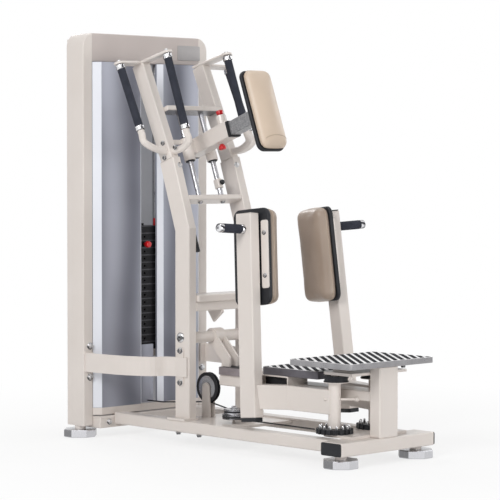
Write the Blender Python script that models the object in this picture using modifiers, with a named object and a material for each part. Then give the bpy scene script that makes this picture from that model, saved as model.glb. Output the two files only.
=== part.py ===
"""Standing hip abductor machine: a weight tower, a base with two swing arms, and a leaning chest pad.

Metres, +Z up. The machine is symmetric about X = 0. The user stands at -Y and faces the tower at +Y.
Depths are written from the tower's front face (0) and fall towards the user; the empty called machine
then moves the whole model so that its box is centred on the origin and stands on Z = 0.
"""

import math

import bmesh
import bpy
from mathutils import Euler, Matrix, Vector

# Driving dimensions
gap = 0.0003  # clearance between pieces that touch
sunk = 0.002  # how far a welded piece reaches into the one that carries it
beyond = 0.010  # how far a cutter reaches past what it cuts
height = 1.60  # floor to the top of the tower

foot_side = 0.130
foot_corner = 0.042  # cut off each corner of a foot
foot_edge = 0.003
foot_block = 0.030
foot_neck = 0.022  # radius of the neck above a foot
foot_height = 0.044  # floor to the top of the neck

tower_width = 0.664
tower_depth = 0.100
column_width = 0.046
header_height = 0.113
arch_radius = 0.055
cover_depth = 0.026
cover_wall = 0.003
cover_inset = 0.022  # column's outer side to the rear cover's

shield_front = 0.026  # how far the shields stand out of the tower
shield_wall = 0.003
shield_bottom = 0.115
slot_left = 0.036  # tower centre to the slot's left side
slot_right = 0.050  # and to its right side
slot_facet = 0.019
rail_height = 0.028
rail_depth = 0.020
tie_reach = 0.045  # how far the tower's lower cross member stands out
tie_bottom = 0.036
tie_height = 0.046

beam_spacing = 0.368  # between the centre lines of the two base beams
beam_width = 0.060
beam_height = 0.044
crossbar_front = 1.325  # tower face to the front of the crossbar
crossbar_depth = 0.100
crossbar_width = 0.500
crossbar_height = 0.050
front_foot_spacing = 0.404
mid_plate_front = 0.680
mid_plate_back = 0.330
mid_plate_top = 0.088
mid_plate_thickness = 0.010

side_spacing = 0.322  # between the centre planes of the two side frames
tube_depth = 0.080
tube_width = 0.040
upright_back = 0.370  # tower face to the rear face of the uprights
bend_height = 0.830
upright_top = 1.100
upright_lean = math.radians(18.5)
column_depth = 0.065
column_lean = math.radians(24.5)
column_top = 1.475

plate_bar = 0.045  # width of the bar that joins the tops of the handles
plate_bar_thickness = 0.010
grip_radius = 0.016
elbow_radius = 0.0135
front_grip_y = 0.302  # upper end of a front grip
front_grip_length = 0.315
front_grip_lean = math.radians(20.2)
outer_grip_x = 0.290
outer_grip_y = 0.172
outer_grip_length = 0.287
outer_grip_lean = math.radians(25.4)
plate_tilt = math.radians(14.6)  # the joining bar rises towards the user
plate_drop = math.radians(4.0)  # and falls to its outer end

guard_bottom = 0.262
guard_height = 0.075
guard_wall = 0.008

cross_tube_radius = 0.0225
cross_tube_height = 0.410
shelf_bottom = 0.515
shelf_height = 0.036
shelf_depth = 0.080
shelf_lid = 0.028
shelf_lid_overhang = 0.012

spine_bottom = 0.225
spine_width = 0.100
spine_height = 0.037
spine_lid = 0.033
spine_back = 0.480
link_wall = 0.008
link_spread = 0.050
link_width = 0.045

post_width = 0.100
post_depth = 0.051
platform_top = 0.376
platform_width = 0.449
platform_length = 0.305
platform_thickness = 0.022
platform_overhang = 0.017
strip_count = 11
strip_width = 0.0300
strip_depth = 0.006
tread_width = 0.240
tread_front = 1.080
tread_back = 0.790
tread_thickness = 0.030

pivot_spacing = 0.216
pivot_y = 1.155
sleeve_radius = 0.023
sleeve_length = 0.168
shaft_radius = 0.0125
running = 0.0004  # clearance round a shaft
bearing_plate = 0.010
bearing_end = 0.040  # radius of a bearing plate's corner round its shaft
upper_bearing_bottom = 0.322
disc_radius = 0.0685
disc_thickness = 0.018
disc_teeth = 18
tooth_depth = 0.005
cam_radius = 0.046
cam_offset = 0.008
cam_thickness = 0.024

arm_height = 0.090
arm_bottom = 0.174
arm_width = 0.050
arm_straight = 0.225  # pivot to the bend
arm_post_x = 0.092  # the foot of the leaning post, measured from the pivot
arm_post_y = 0.338
arm_post_bottom = 0.139
arm_post_top = 0.900
arm_post_depth = 0.080
arm_post_width = 0.045
arm_post_in = 0.048  # how far the post's top leans inwards
arm_post_back = 0.076  # and away from the user
right_arm_turn = math.radians(16.1)  # the right arm stands this much further open

leg_pad_length = 0.365
leg_pad_width = 0.190
leg_pad_thickness = 0.052
leg_pad_height = 0.738  # floor to the middle of the pad
leg_pad_shift = 0.014  # the pad's middle stands this much nearer the tower than its post
pad_base = 0.016
saddle_length = 0.200
saddle_width = 0.060
saddle_thickness = 0.008
stub_height = 0.840
stub_length = 0.128
stub_radius = 0.0175

rail_lean = math.radians(20.0)
rail_spacing = 0.120
rail_radius = 0.010
rail_centre_y = 0.3185
rail_centre_z = 1.120
rail_length = 0.351
rail_plate = 0.020
rail_plate_depth = 0.060
carriage_offset = 0.030  # rail centre to the sliding tube's axis, along the rails
carriage_rise = 0.002  # and on to the middle of the box that holds it
boss_drop = 0.010  # the bosses' middle below the axis
boss_radius = 0.0225
boss_length = 0.090
bridge_depth = 0.030
bridge_height = 0.054
carriage_tube_width = 0.060
carriage_tube_height = 0.064
carriage_tube_back = 0.035
carriage_tube_front = 0.204
slide_tube_width = 0.046
slide_tube_height = 0.054
tube_wall = 0.004
chest_pad_reach = 0.374  # rail centre line to the back of the pad's base
chest_pad_length = 0.325
chest_pad_width = 0.140
chest_pad_rise = 0.008  # the pad's middle above the sliding tube's axis, along the rails
chest_pad_thickness = 0.040
knob_radius = 0.015
knob_height = 0.022
knob_stem = 0.005
upper_housing = (0.020, 0.038)  # radius and height of each knob's housing
lower_housing = (0.012, 0.004)
knob_travel = 0.010
upper_knob_out = 0.162  # rail centre line to each knob
lower_knob_out = 0.130
strut_x = 0.127
strut_back = 0.010  # the strut lies this much nearer the tower than the rails
strut_low = 0.395  # rail centre to the strut's lower end
strut_radius = 0.0085
strut_rod_radius = 0.0045
strut_length = 0.230
strut_pin = 0.006  # radius of the pin that holds it to the upright
strut_ear = 0.016

plate_count = 16
plate_thickness = 0.0290
plate_gap = 0.0005
plate_groove = 0.0020
plate_width = 0.230
plate_depth = 0.076
moving_plates = 2
stack_bottom = 0.330
stack_base_height = 0.030
head_plate_height = 0.030
guide_spacing = 0.180
guide_radius = 0.010
stem_radius = 0.0115
pin_radius = 0.0045
pin_head_radius = 0.013
pin_head_length = 0.030

top_pulley_drop = 0.097  # header's underside to the top pulley's axle
top_pulley_radius = 0.030
floor_pulley_z = 0.150
pulley_width = 0.018
groove = 0.003
large_pulley_radius = 0.060
large_pulley_y = 0.367
large_pulley_z = 0.204
low_pulley_radius = 0.045
low_pulley_x = 0.070
low_pulley_y = 0.585
low_pulley_z = 0.113
cheek_wall = 0.005
cable_radius = 0.003
cable_ease = 0.001  # over a groove's floor, for the straight stretches of a bend
pulley_bore = 0.006
platform_lip = 0.004
stem_stub = 0.018
cable_join = 0.020  # top pulley's axle to where the lifting cable takes over
strut_rod_length = 0.290

# Sizes that follow
tower_half = tower_width / 2
column_x = tower_half - column_width / 2
inner_half = tower_half - column_width  # tower centre to a column's inner side
column_bottom = foot_height + gap
header_bottom = height - header_height
top_pulley_z = header_bottom - top_pulley_drop
mid_depth = tower_depth / 2
beam_x = beam_spacing / 2
crossbar_bottom = foot_height + gap
crossbar_top = crossbar_bottom + crossbar_height
crossbar_back = crossbar_front - crossbar_depth
beam_bottom = crossbar_top - beam_height
side_x = side_spacing / 2
inner_side = side_x - tube_width / 2
upright_y = upright_back + tube_depth / 2
upright_top_y = upright_y - (upright_top - bend_height) * math.tan(upright_lean)
post_top = platform_top - platform_thickness - gap
post_back = crossbar_front - post_depth
spine_top = spine_bottom + spine_height + spine_lid
pivot_x = pivot_spacing / 2
lower_plate_bottom = crossbar_top + gap
disc_bottom = lower_plate_bottom + bearing_plate + gap
sleeve_bottom = disc_bottom + disc_thickness + gap
sleeve_top = sleeve_bottom + sleeve_length
pitch = plate_thickness + plate_gap
front_reach = crossbar_front + platform_overhang


# Materials
def material(name, colour, roughness, metallic=0.0):
    made = bpy.data.materials.new(name)
    made.use_nodes = True
    shader = made.node_tree.nodes["Principled BSDF"]
    shader.inputs["Base Color"].default_value = (*colour, 1.0)
    shader.inputs["Roughness"].default_value = roughness
    shader.inputs["Metallic"].default_value = metallic
    made.diffuse_color = (*colour, 1.0)
    return made


# Scene
for old in list(bpy.data.objects):
    bpy.data.objects.remove(old, do_unlink=True)

parts = bpy.data.collections.new("hip_abductor_machine")
bpy.context.scene.collection.children.link(parts)

cream = material("cream_paint", (0.74, 0.70, 0.62), 0.35)
silver = material("silver_panel", (0.46, 0.48, 0.52), 0.30, 0.6)
aluminium = material("aluminium", (0.70, 0.70, 0.70), 0.35, 1.0)
chrome = material("chrome", (0.80, 0.80, 0.80), 0.12, 1.0)
black = material("black_plastic", (0.03, 0.03, 0.035), 0.45)
rubber = material("black_rubber", (0.05, 0.05, 0.055), 0.75)
iron = material("black_iron", (0.05, 0.05, 0.05), 0.55, 0.3)
tan = material("tan_leather", (0.60, 0.48, 0.37), 0.50)
red = material("red_plastic", (0.75, 0.05, 0.03), 0.35)


# Helpers
def empty(name, location=(0, 0, 0), rotation=(0, 0, 0), parent=None):
    made = bpy.data.objects.new(name, None)
    made.location = location
    made.rotation_euler = rotation
    made.parent = parent
    parts.objects.link(made)
    return made


def adopt(obj, name, parent, finish, built_in_place=True):
    """Name an object, hang it under its parent empty and give it its one material."""
    if built_in_place:
        obj.data.transform(parent.matrix_world.inverted())
    obj.name = name
    obj.data.name = name
    for held in list(obj.users_collection):
        held.objects.unlink(obj)
    parts.objects.link(obj)
    obj.parent = parent
    obj.data.materials.clear()
    obj.data.materials.append(finish)
    obj.data.shade_smooth()
    obj.data.set_sharp_from_angle(angle=math.radians(35))
    return obj


def new_mesh(name, bm):
    mesh = bpy.data.meshes.new(name)
    bm.to_mesh(mesh)
    bm.free()
    obj = bpy.data.objects.new(name, mesh)
    bpy.context.scene.collection.objects.link(obj)
    return obj


def box(size, at, turn=(0, 0, 0), edge=0.0, segments=1):
    """A block, its edges rounded by edge."""
    bm = bmesh.new()
    bmesh.ops.create_cube(bm, size=1.0)
    bmesh.ops.scale(bm, vec=size, verts=bm.verts)
    if edge:
        bmesh.ops.bevel(bm, geom=bm.edges, offset=edge, segments=segments, profile=0.5, affect="EDGES")
    obj = new_mesh("box", bm)
    place(obj, at, turn)
    return obj


def place(obj, at, turn=(0, 0, 0)):
    obj.data.transform(Matrix.Translation(at) @ Euler(turn).to_matrix().to_4x4())


def rod(start, end, radius, sides=16, end_radius=None):
    """A round bar or cone between two points."""
    start, end = Vector(start), Vector(end)
    bm = bmesh.new()
    bmesh.ops.create_cone(
        bm,
        cap_ends=True,
        segments=sides,
        radius1=radius,
        radius2=radius if end_radius is None else end_radius,
        depth=(end - start).length,
    )
    obj = new_mesh("rod", bm)
    turn = (end - start).to_track_quat("Z", "Y").to_matrix().to_4x4()
    obj.data.transform(Matrix.Translation((start + end) / 2) @ turn)
    return obj


def turned(profile, at=(0, 0, 0), turn=(0, 0, 0), steps=24):
    """A profile of (radius, height) points, top first, spun round Z; a ring's profile is a closed loop."""
    bm = bmesh.new()
    corners = [bm.verts.new((r, 0, z)) for r, z in profile]
    for a, b in zip(corners, corners[1:]):
        bm.edges.new((a, b))
    if min(r for r, _ in profile) > 0:
        bm.edges.new((corners[-1], corners[0]))
    obj = new_mesh("turned", bm)
    screw = obj.modifiers.new("Screw", "SCREW")
    screw.steps = steps
    screw.render_steps = steps
    screw.use_merge_vertices = True
    screw.merge_threshold = 0.00001
    obj = applied(obj)
    place(obj, at, turn)
    return obj


def ring(outer, inner, bottom, top, at=(0, 0, 0), turn=(0, 0, 0), steps=24):
    return turned([(outer, top), (outer, bottom), (inner, bottom), (inner, top)], at, turn, steps)


def applied(obj):
    """The same object with its modifiers, or its curve, made into a plain mesh."""
    bpy.context.view_layer.update()
    seen = obj.evaluated_get(bpy.context.evaluated_depsgraph_get())
    mesh = bpy.data.meshes.new_from_object(seen)
    mesh.transform(obj.matrix_world)
    bm = bmesh.new()
    bm.from_mesh(mesh)
    bmesh.ops.remove_doubles(bm, verts=bm.verts, dist=0.00001)
    bmesh.ops.recalc_face_normals(bm, faces=bm.faces)
    bm.to_mesh(mesh)
    bm.free()
    made = bpy.data.objects.new(obj.name, mesh)
    bpy.context.scene.collection.objects.link(made)
    bpy.data.objects.remove(obj, do_unlink=True)
    return made


def outline(points, thickness, plane, at, edge=0.0):
    """A flat plate: an outline in the XY, XZ or YZ plane, extruded evenly to both sides of at."""
    curve = bpy.data.curves.new("outline", "CURVE")
    curve.dimensions = "2D"
    curve.fill_mode = "BOTH"
    curve.extrude = thickness / 2 - edge
    curve.bevel_depth = edge
    curve.bevel_resolution = 0
    curve.offset = -edge
    spline = curve.splines.new("POLY")
    spline.points.add(len(points) - 1)
    for corner, (u, v) in zip(spline.points, points):
        corner.co = (u, v, 0, 1)
    spline.use_cyclic_u = True
    obj = bpy.data.objects.new("outline", curve)
    bpy.context.scene.collection.objects.link(obj)
    obj = applied(obj)
    turns = {"XY": (0, 0, 0), "XZ": (math.pi / 2, 0, 0), "YZ": (math.pi / 2, 0, math.pi / 2)}
    place(obj, at, turns[plane])
    return obj


def arc(centre, radius, start, end, steps=6):
    """Points on an arc, in degrees."""
    out = []
    for i in range(steps + 1):
        a = math.radians(start + (end - start) * i / steps)
        out.append((centre[0] + radius * math.cos(a), centre[1] + radius * math.sin(a)))
    return out


def rounded(width, depth, radius, at=(0, 0), steps=4):
    """A rectangle with round corners."""
    out = []
    for sx, sy, start in ((1, 1, 0), (-1, 1, 90), (-1, -1, 180), (1, -1, 270)):
        corner = (at[0] + sx * (width / 2 - radius), at[1] + sy * (depth / 2 - radius))
        out += arc(corner, radius, start, start + 90, steps)
    return out


def tube(points, radius, sides=12, closed_ends=True):
    """A round tube or cable along a list of points."""
    curve = bpy.data.curves.new("tube", "CURVE")
    curve.dimensions = "3D"
    curve.bevel_depth = radius
    curve.bevel_resolution = (sides - 4) // 2
    curve.use_fill_caps = closed_ends
    spline = curve.splines.new("POLY")
    spline.points.add(len(points) - 1)
    for corner, p in zip(spline.points, points):
        corner.co = (*p, 1)
    obj = bpy.data.objects.new("tube", curve)
    bpy.context.scene.collection.objects.link(obj)
    return applied(obj)


def smooth_path(points, steps=5):
    """A smooth curve through the points, by Catmull and Rom's formula."""
    p = [Vector(q) for q in points]
    p = [2 * p[0] - p[1]] + p + [2 * p[-1] - p[-2]]
    out = []
    for a, b, c, d in zip(p, p[1:], p[2:], p[3:]):
        for i in range(steps):
            t = i / steps
            out.append(
                0.5 * (2 * b + (c - a) * t + (2 * a - 5 * b + 4 * c - d) * t**2 + (3 * b - 3 * c + d - a) * t**3)
            )
    out.append(p[-2])
    return [tuple(q) for q in out]


def cut(obj, *tools):
    """Cut the tools out of an object and apply it, so that later steps see one clean body."""
    return combine(obj, tools, "DIFFERENCE")


def weld(obj, *others):
    return combine(obj, others, "UNION")


def combine(obj, others, how):
    for tool in others:
        step = obj.modifiers.new(how.title(), "BOOLEAN")
        step.operation = how
        step.solver = "EXACT"
        step.object = tool
    made = applied(obj)
    for tool in others:
        bpy.data.objects.remove(tool, do_unlink=True)
    return made


def mirrored(obj):
    """A copy on the other side of X = 0."""
    twin = bpy.data.objects.new(obj.name, obj.data.copy())
    bpy.context.scene.collection.objects.link(twin)
    twin.data.transform(Matrix.Scale(-1, 4, (1, 0, 0)))
    twin.data.flip_normals()
    return twin


def cushion(length, width, thickness, crown, levels=2):
    """A pad lying on Z = 0, along Y, from a coarse cage: crowned, with its sides drawn in at the seat."""
    edge = min(width, length) * 0.16
    xs = (-width / 2, edge - width / 2, width / 2 - edge, width / 2)
    ys = (-length / 2, edge - length / 2, length / 2 - edge, length / 2)
    zs = (0.0, thickness * 0.42, thickness * 0.84, thickness)
    draw = (0.975, 1.0, 1.0, 0.90)
    bm = bmesh.new()
    bmesh.ops.create_cube(bm, size=3.0)
    bmesh.ops.subdivide_edges(bm, edges=bm.edges, cuts=2, use_grid_fill=True)
    for v in bm.verts:
        i, j, k = (round(c + 1.5) for c in v.co)
        swell = crown if k == 3 and i in (1, 2) and j in (1, 2) else 0.0
        v.co = (xs[i] * draw[k], ys[j] * (0.5 + draw[k] / 2), zs[k] + swell)
    crease = bm.edges.layers.float.new("crease_edge")
    for e in bm.edges:
        if all(v.co.z < 1e-6 for v in e.verts) and any(f.calc_center_median().z > 1e-4 for f in e.link_faces):
            e[crease] = 1.0
    obj = new_mesh("cushion", bm)
    soft = obj.modifiers.new("Subdivision", "SUBSURF")
    soft.levels = levels
    soft.render_levels = levels
    return applied(obj)


def bar(start, end, width, depth, side=(1, 0, 0), edge=0.0):
    """A rectangular bar from start to end, its width along side."""
    start, end = Vector(start), Vector(end)
    along = (end - start).normalized()
    across = Vector(side)
    across = (across - across.dot(along) * along).normalized()
    frame = Matrix((across, along.cross(across), along)).transposed().to_4x4()
    obj = box((width, depth, (end - start).length), (0, 0, 0), edge=edge)
    obj.data.transform(Matrix.Translation((start + end) / 2) @ frame)
    return obj


def ribbon(path, depth, side=0.5):
    """The outline of a strip along a path, mitred at its corners; side is the share left of the path."""
    points = [Vector(p) for p in path]
    left, right = [], []
    for i, p in enumerate(points):
        ways = []
        if i:
            ways.append((p - points[i - 1]).normalized())
        if i < len(points) - 1:
            ways.append((points[i + 1] - p).normalized())
        normals = [Vector((-w.y, w.x)) for w in ways]
        mitre = sum(normals, Vector((0, 0))).normalized()
        mitre /= mitre.dot(normals[0])
        left.append(tuple(p + mitre * depth * side))
        right.append(tuple(p - mitre * depth * (1 - side)))
    return left + right[::-1]


def trim(obj, point, normal):
    """Cut away what lies on the normal's side of a plane, and close the cut."""
    bm = bmesh.new()
    bm.from_mesh(obj.data)
    every = bm.verts[:] + bm.edges[:] + bm.faces[:]
    done = bmesh.ops.bisect_plane(bm, geom=every, plane_co=point, plane_no=normal, clear_outer=True, dist=1e-6)
    rim = [e for e in done["geom_cut"] if isinstance(e, bmesh.types.BMEdge)]
    bmesh.ops.edgeloop_fill(bm, edges=rim)
    bmesh.ops.recalc_face_normals(bm, faces=bm.faces)
    bm.to_mesh(obj.data)
    bm.free()
    return obj


# Frames for what moves
machine = empty("machine")


def along_rail(x, along, out):
    """A point measured from the middle of the rails: along them, and out towards the user."""
    y = -rail_centre_y + along * math.sin(rail_lean) - out * math.cos(rail_lean)
    z = rail_centre_z + along * math.cos(rail_lean) + out * math.sin(rail_lean)
    return Vector((x, y, z))


def wrap(radius):
    """The radius at which a cable's centre lies in a pulley's groove."""
    return radius - 2 * groove + cable_radius + cable_ease


rail_way = Vector((0, math.sin(rail_lean), math.cos(rail_lean)))
pad_way = Vector((0, -math.cos(rail_lean), math.sin(rail_lean)))
left_arm = empty("left_arm_pivot", (-pivot_x, -pivot_y, 0), (0, 0, 0), machine)
right_arm = empty("right_arm_pivot", (pivot_x, -pivot_y, 0), (0, 0, -right_arm_turn), machine)
weight = empty("weight_lift", (0, mid_depth, stack_bottom), (0, 0, 0), machine)
pin_z = stack_bottom + (plate_count - moving_plates) * pitch + plate_thickness / 2
pin_home = empty("pin_slide", (0, 0, pin_z), (0, 0, 0), machine)
carriage_home = empty("carriage_slide", along_rail(0, carriage_offset, 0), (-rail_lean, 0, 0), machine)
pad_home = empty("pad_slide", along_rail(0, carriage_offset, chest_pad_reach), (-rail_lean, 0, 0), machine)
large_home = empty("large_pulley_axis", (0, -large_pulley_y, large_pulley_z), (0, 0, 0), machine)
low_home = empty("low_pulley_axis", (-low_pulley_x, -low_pulley_y, low_pulley_z), (0, 0, 0), machine)
top_home = empty("top_pulley_axis", (0, mid_depth + wrap(top_pulley_radius), top_pulley_z), (0, 0, 0), machine)
bpy.context.view_layer.update()


# Tower
def make_tower():
    column_height = header_bottom - gap - column_bottom
    for side, sign in (("left", -1), ("right", 1)):
        at = (sign * column_x, mid_depth, column_bottom + column_height / 2)
        column = box((column_width, tower_depth, column_height), at, edge=0.004)
        adopt(column, "tower_column_" + side, machine, cream)
    corner = (tower_half - arch_radius, height - arch_radius)
    arch = [(-tower_half, header_bottom), (tower_half, header_bottom)]
    arch += arc(corner, arch_radius, 0, 90)
    arch += arc((-corner[0], corner[1]), arch_radius, 90, 180)
    header = outline(arch, tower_depth, "XZ", (0, mid_depth, 0), edge=0.003)
    header = weld(header, hanger(top_pulley_z, header_bottom + 0.003))
    adopt(header, "tower_header", machine, cream)


def make_rear_cover():
    width = tower_width - 2 * cover_inset
    bottom = column_bottom + cover_inset
    length = height - cover_inset - bottom
    middle = (0, tower_depth + gap + cover_depth / 2, bottom + length / 2)
    tray = box((width, cover_depth, length), middle, edge=0.002)
    inside = (width - 2 * cover_wall, cover_depth, length - 2 * cover_wall)
    tray = cut(tray, box(inside, (0, middle[1] - cover_wall, middle[2])))
    adopt(tray, "rear_cover", machine, cream)


def shield_plan(sign):
    """The front shields in plan, from the column, round the outer facet, to the slot."""
    edge = inner_half - gap
    slot = slot_left if sign < 0 else slot_right
    path = [
        (edge, shield_wall * 3),
        (edge, -0.001),
        (edge - shield_front, -shield_front),
        (slot + slot_facet, -shield_front),
        (slot, slot_facet - shield_front),
        (slot, slot_facet - shield_front + shield_wall * 3),
    ]
    return [(sign * x, y) for x, y in path]


def hanger(pulley_z, root_z):
    """The cheeks and axle of one of the tower's cable wheels, from root_z to the wheel."""
    y = mid_depth + wrap(top_pulley_radius)
    spread = pulley_width / 2 + gap + cheek_wall / 2
    up = 1 if root_z < pulley_z else -1
    made = rod((-spread, y, pulley_z), (spread, y, pulley_z), pulley_bore, 12)
    for sign in (-1, 1):
        length = abs(pulley_z - root_z) + 0.014
        at = (sign * spread, y, root_z + up * length / 2)
        made = weld(made, box((cheek_wall, 0.026, length), at))
    base = (2 * spread + 3 * cheek_wall, 0.030 + (y - mid_depth) * 2, cheek_wall)
    return weld(made, box(base, (0, mid_depth, root_z + up * 0.001)))


def make_shields():
    length = header_bottom - shield_bottom
    middle = (0, 0, shield_bottom + length / 2)
    for side, sign in (("left", -1), ("right", 1)):
        strip = ribbon(shield_plan(sign), shield_wall, 1.0 if sign < 0 else 0.0)
        adopt(outline(strip, length, "XY", middle), "shield_" + side, machine, silver)
    half = shield_plan(1)[:3]
    path = half + [(-x, y) for x, y in reversed(half)]
    bar_plan = ribbon(path, rail_depth, 0.0)
    at = (0, 0, shield_bottom - gap - rail_height / 2)
    rail = outline(bar_plan, rail_height, "XY", at)
    depth = tie_reach + mid_depth
    size = (2 * (inner_half - gap), depth, tie_height)
    at = (0, depth / 2 - tie_reach, tie_bottom + tie_height / 2)
    tie = box(size, at, edge=0.003)
    low = tie_bottom + tie_height - 0.005
    high = shield_bottom - gap - rail_height + 0.005
    for sign in (-1, 1):
        stay_at = (sign * inner_half * 0.6, -shield_front / 2, (low + high) / 2)
        tie = weld(tie, box((0.040, 0.010, high - low), stay_at))
    wheel = pulley(top_pulley_radius, pulley_bore - 0.001)
    place(wheel, (0, mid_depth + wrap(top_pulley_radius), floor_pulley_z), (0, math.pi / 2, 0))
    tie = weld(tie, rail, hanger(floor_pulley_z, low), wheel)
    adopt(tie, "tower_foot_rails", machine, cream)


# Base
def make_feet():
    for name, x, y in (
        ("tower_foot_", column_x, mid_depth),
        ("front_foot_", front_foot_spacing / 2, crossbar_depth / 2 - crossbar_front),
    ):
        for side, sign in (("left", -1), ("right", 1)):
            octagon = []
            for a, b in ((1, 1), (-1, 1), (-1, -1), (1, -1)):
                far = foot_side / 2
                near = far - foot_corner
                pair = [(a * far, b * near), (a * near, b * far)]
                octagon += pair if a * b > 0 else pair[::-1]
            block = outline(octagon, foot_block, "XY", (sign * x, y, foot_block / 2), edge=foot_edge)
            low = (sign * x, y, foot_block - sunk)
            neck = rod(low, (sign * x, y, foot_height), foot_neck, 16)
            adopt(weld(block, neck), name + side, machine, aluminium)


def make_base():
    length = crossbar_back - tie_reach - 2 * gap
    for side, sign in (("left", -1), ("right", 1)):
        at = (sign * beam_x, -tie_reach - gap - length / 2, beam_bottom + beam_height / 2)
        adopt(box((beam_width, length, beam_height), at, edge=0.004), "base_beam_" + side, machine, cream)
    size = (crossbar_width, crossbar_depth, crossbar_height)
    at = (0, crossbar_depth / 2 - crossbar_front, crossbar_bottom + crossbar_height / 2)
    adopt(box(size, at, edge=0.004), "front_crossbar", machine, cream)


def make_mid_plate():
    """The floor plate between the base beams, with the cheeks that carry the large pulley."""
    width = 2 * (beam_x - beam_width / 2 - gap)
    length = mid_plate_front - mid_plate_back
    middle_y = -(mid_plate_front + mid_plate_back) / 2
    plate_middle = mid_plate_top - mid_plate_thickness / 2
    floor = box((width, length, mid_plate_thickness), (0, middle_y, plate_middle))
    axle = Vector((0, -large_pulley_y, large_pulley_z))
    made = floor
    spread = pulley_width / 2 + gap + cheek_wall / 2
    base = mid_plate_top - mid_plate_thickness / 2
    for sign in (-1, 1):
        wide = cheek_wall * 5
        sheet = [(-wide - large_pulley_y, base), (wide - large_pulley_y, base)]
        sheet += arc((-large_pulley_y, large_pulley_z), wide * 0.8, 0, 180)
        made = weld(made, outline(sheet, cheek_wall, "YZ", (sign * spread, 0, 0)))
    pin = rod(axle - Vector((spread, 0, 0)), axle + Vector((spread, 0, 0)), pulley_bore, 12)
    made = weld(made, pin)
    low = Vector((-low_pulley_x, -low_pulley_y, mid_plate_top - 0.002))
    top = low + Vector((0, 0, low_pulley_z + pulley_width / 2 - low.z))
    made = weld(made, rod(low, top, pulley_bore, 12))
    adopt(made, "mid_plate", machine, cream)


# Side frames
def upright_path():
    top = (-upright_top_y, upright_top)
    return [(-upright_y, crossbar_top + gap), (-upright_y, bend_height), top]


def make_uprights():
    for side, sign in (("left", -1), ("right", 1)):
        shape = ribbon(upright_path(), tube_depth)
        tube_body = outline(shape, tube_width, "YZ", (sign * side_x, 0, 0), edge=0.003)
        reach = beam_x + beam_width / 2 - inner_side
        sole = box(
            (reach, tube_depth + 0.020, 0.008),
            (sign * (inner_side + reach / 2), -upright_y, crossbar_top + gap + 0.004),
        )
        adopt(weld(tube_body, sole), "upright_" + side, machine, cream)


def plate_frame():
    """The plane of the bar that joins the handles' tops on the right, its origin over the column."""
    lean = column_top - upright_top
    y = -upright_top_y + lean * math.tan(column_lean)
    return Matrix.Translation((side_x, y, column_top)) @ Euler((-plate_tilt, plate_drop, 0)).to_matrix().to_4x4()


def on_plate(x, y):
    """The point of the joining bar's plane above a place in plan."""
    frame = plate_frame()
    normal = frame.to_3x3() @ Vector((0, 0, 1))
    origin = frame.translation
    z = origin.z - (normal.x * (x - origin.x) + normal.y * (y - origin.y)) / normal.z
    return Vector((x, y, z))


def grip_ends():
    """Upper and lower ends of the right side's front and outer grips."""
    front = on_plate(side_x, -front_grip_y)
    way = Vector((0, -math.sin(front_grip_lean), -math.cos(front_grip_lean)))
    outer = on_plate(outer_grip_x, -outer_grip_y)
    outer_way = Vector((0, -math.sin(outer_grip_lean), -math.cos(outer_grip_lean)))
    return [
        (front, front + way * front_grip_length, way),
        (outer, outer + outer_way * outer_grip_length, outer_way),
    ]


def make_handles():
    frame = plate_frame()
    normal = frame.to_3x3() @ Vector((0, 0, 1))
    start = Vector((side_x, -upright_top_y, upright_top))
    up = Vector((0, math.sin(column_lean), math.cos(column_lean)))
    rise = (column_top - upright_top) / up.z
    column = bar(start - up * 0.05, start + up * rise, tube_width, column_depth, edge=0.003)
    to_local = frame.inverted()
    corners = [to_local @ p for p in (grip_ends()[1][0], Vector(frame.translation), grip_ends()[0][0])]
    shape = ribbon([(p.x, p.y) for p in corners], plate_bar)
    head = outline(shape, plate_bar_thickness, "XY", (0, 0, 0), edge=0.002)
    head.data.transform(frame @ Matrix.Translation((0, 0, plate_bar_thickness / 2 - 0.002)))
    ends = [rod(p, p + normal * (plate_bar_thickness - 0.002), plate_bar / 2, 16) for p, _, _ in grip_ends()]
    made = weld(column, head, *ends)
    for (top, low, way), sideways in zip(grip_ends(), (0.0, 1.0)):
        joint = start + up * 0.035 - Vector((0, column_depth * 0.2, 0))
        bend = low + way * 0.050
        toward = (joint - bend) * 0.45
        path = [low + way * gap] + smooth_path([low + way * 0.015, bend, bend + toward + way * 0.012, joint], 4)
        made = weld(made, tube(path, elbow_radius, 10))
    upright_way = Vector((0, math.sin(upright_lean), math.cos(upright_lean)))
    made = trim(made, start + upright_way * gap, -upright_way)
    twin = mirrored(made)
    adopt(made, "handle_frame_right", machine, cream)
    adopt(twin, "handle_frame_left", machine, cream)
    for name, (top, low, way) in zip(("front_grip_", "outer_grip_"), grip_ends()):
        grip = trim(rod(top - way * 0.03, low, grip_radius, 16), top - normal * (gap + 0.002), normal)
        twin = mirrored(grip)
        adopt(grip, name + "right", machine, black)
        adopt(twin, name + "left", machine, black)


def make_guard_bars():
    """Curved flats from the tower's columns, round the sides, to the uprights."""
    front = -guard_wall / 2 - gap
    out = column_x + 0.013
    end = side_x + tube_width / 2 + guard_wall / 2 + gap
    curve = [
        (out, front - 0.010, 0),
        (out - 0.004, -0.110, 0),
        (out - 0.022, -0.220, 0),
        (out - 0.066, -0.312, 0),
        (end + 0.024, -upright_back + 0.030, 0),
        (end + 0.003, -upright_back - 0.004, 0),
        (end, -upright_back - 0.020, 0),
    ]
    path = [(inner_half + 0.004, front), (out, front)] + [(x, y) for x, y, _ in smooth_path(curve, 4)]
    path.append((end, -upright_y - tube_depth / 2 + 0.005))
    at = (0, 0, guard_bottom + guard_height / 2)
    band = outline(ribbon(path, guard_wall), guard_height, "XY", at)
    twin = mirrored(band)
    adopt(band, "guard_bar_right", machine, cream)
    adopt(twin, "guard_bar_left", machine, cream)


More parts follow.
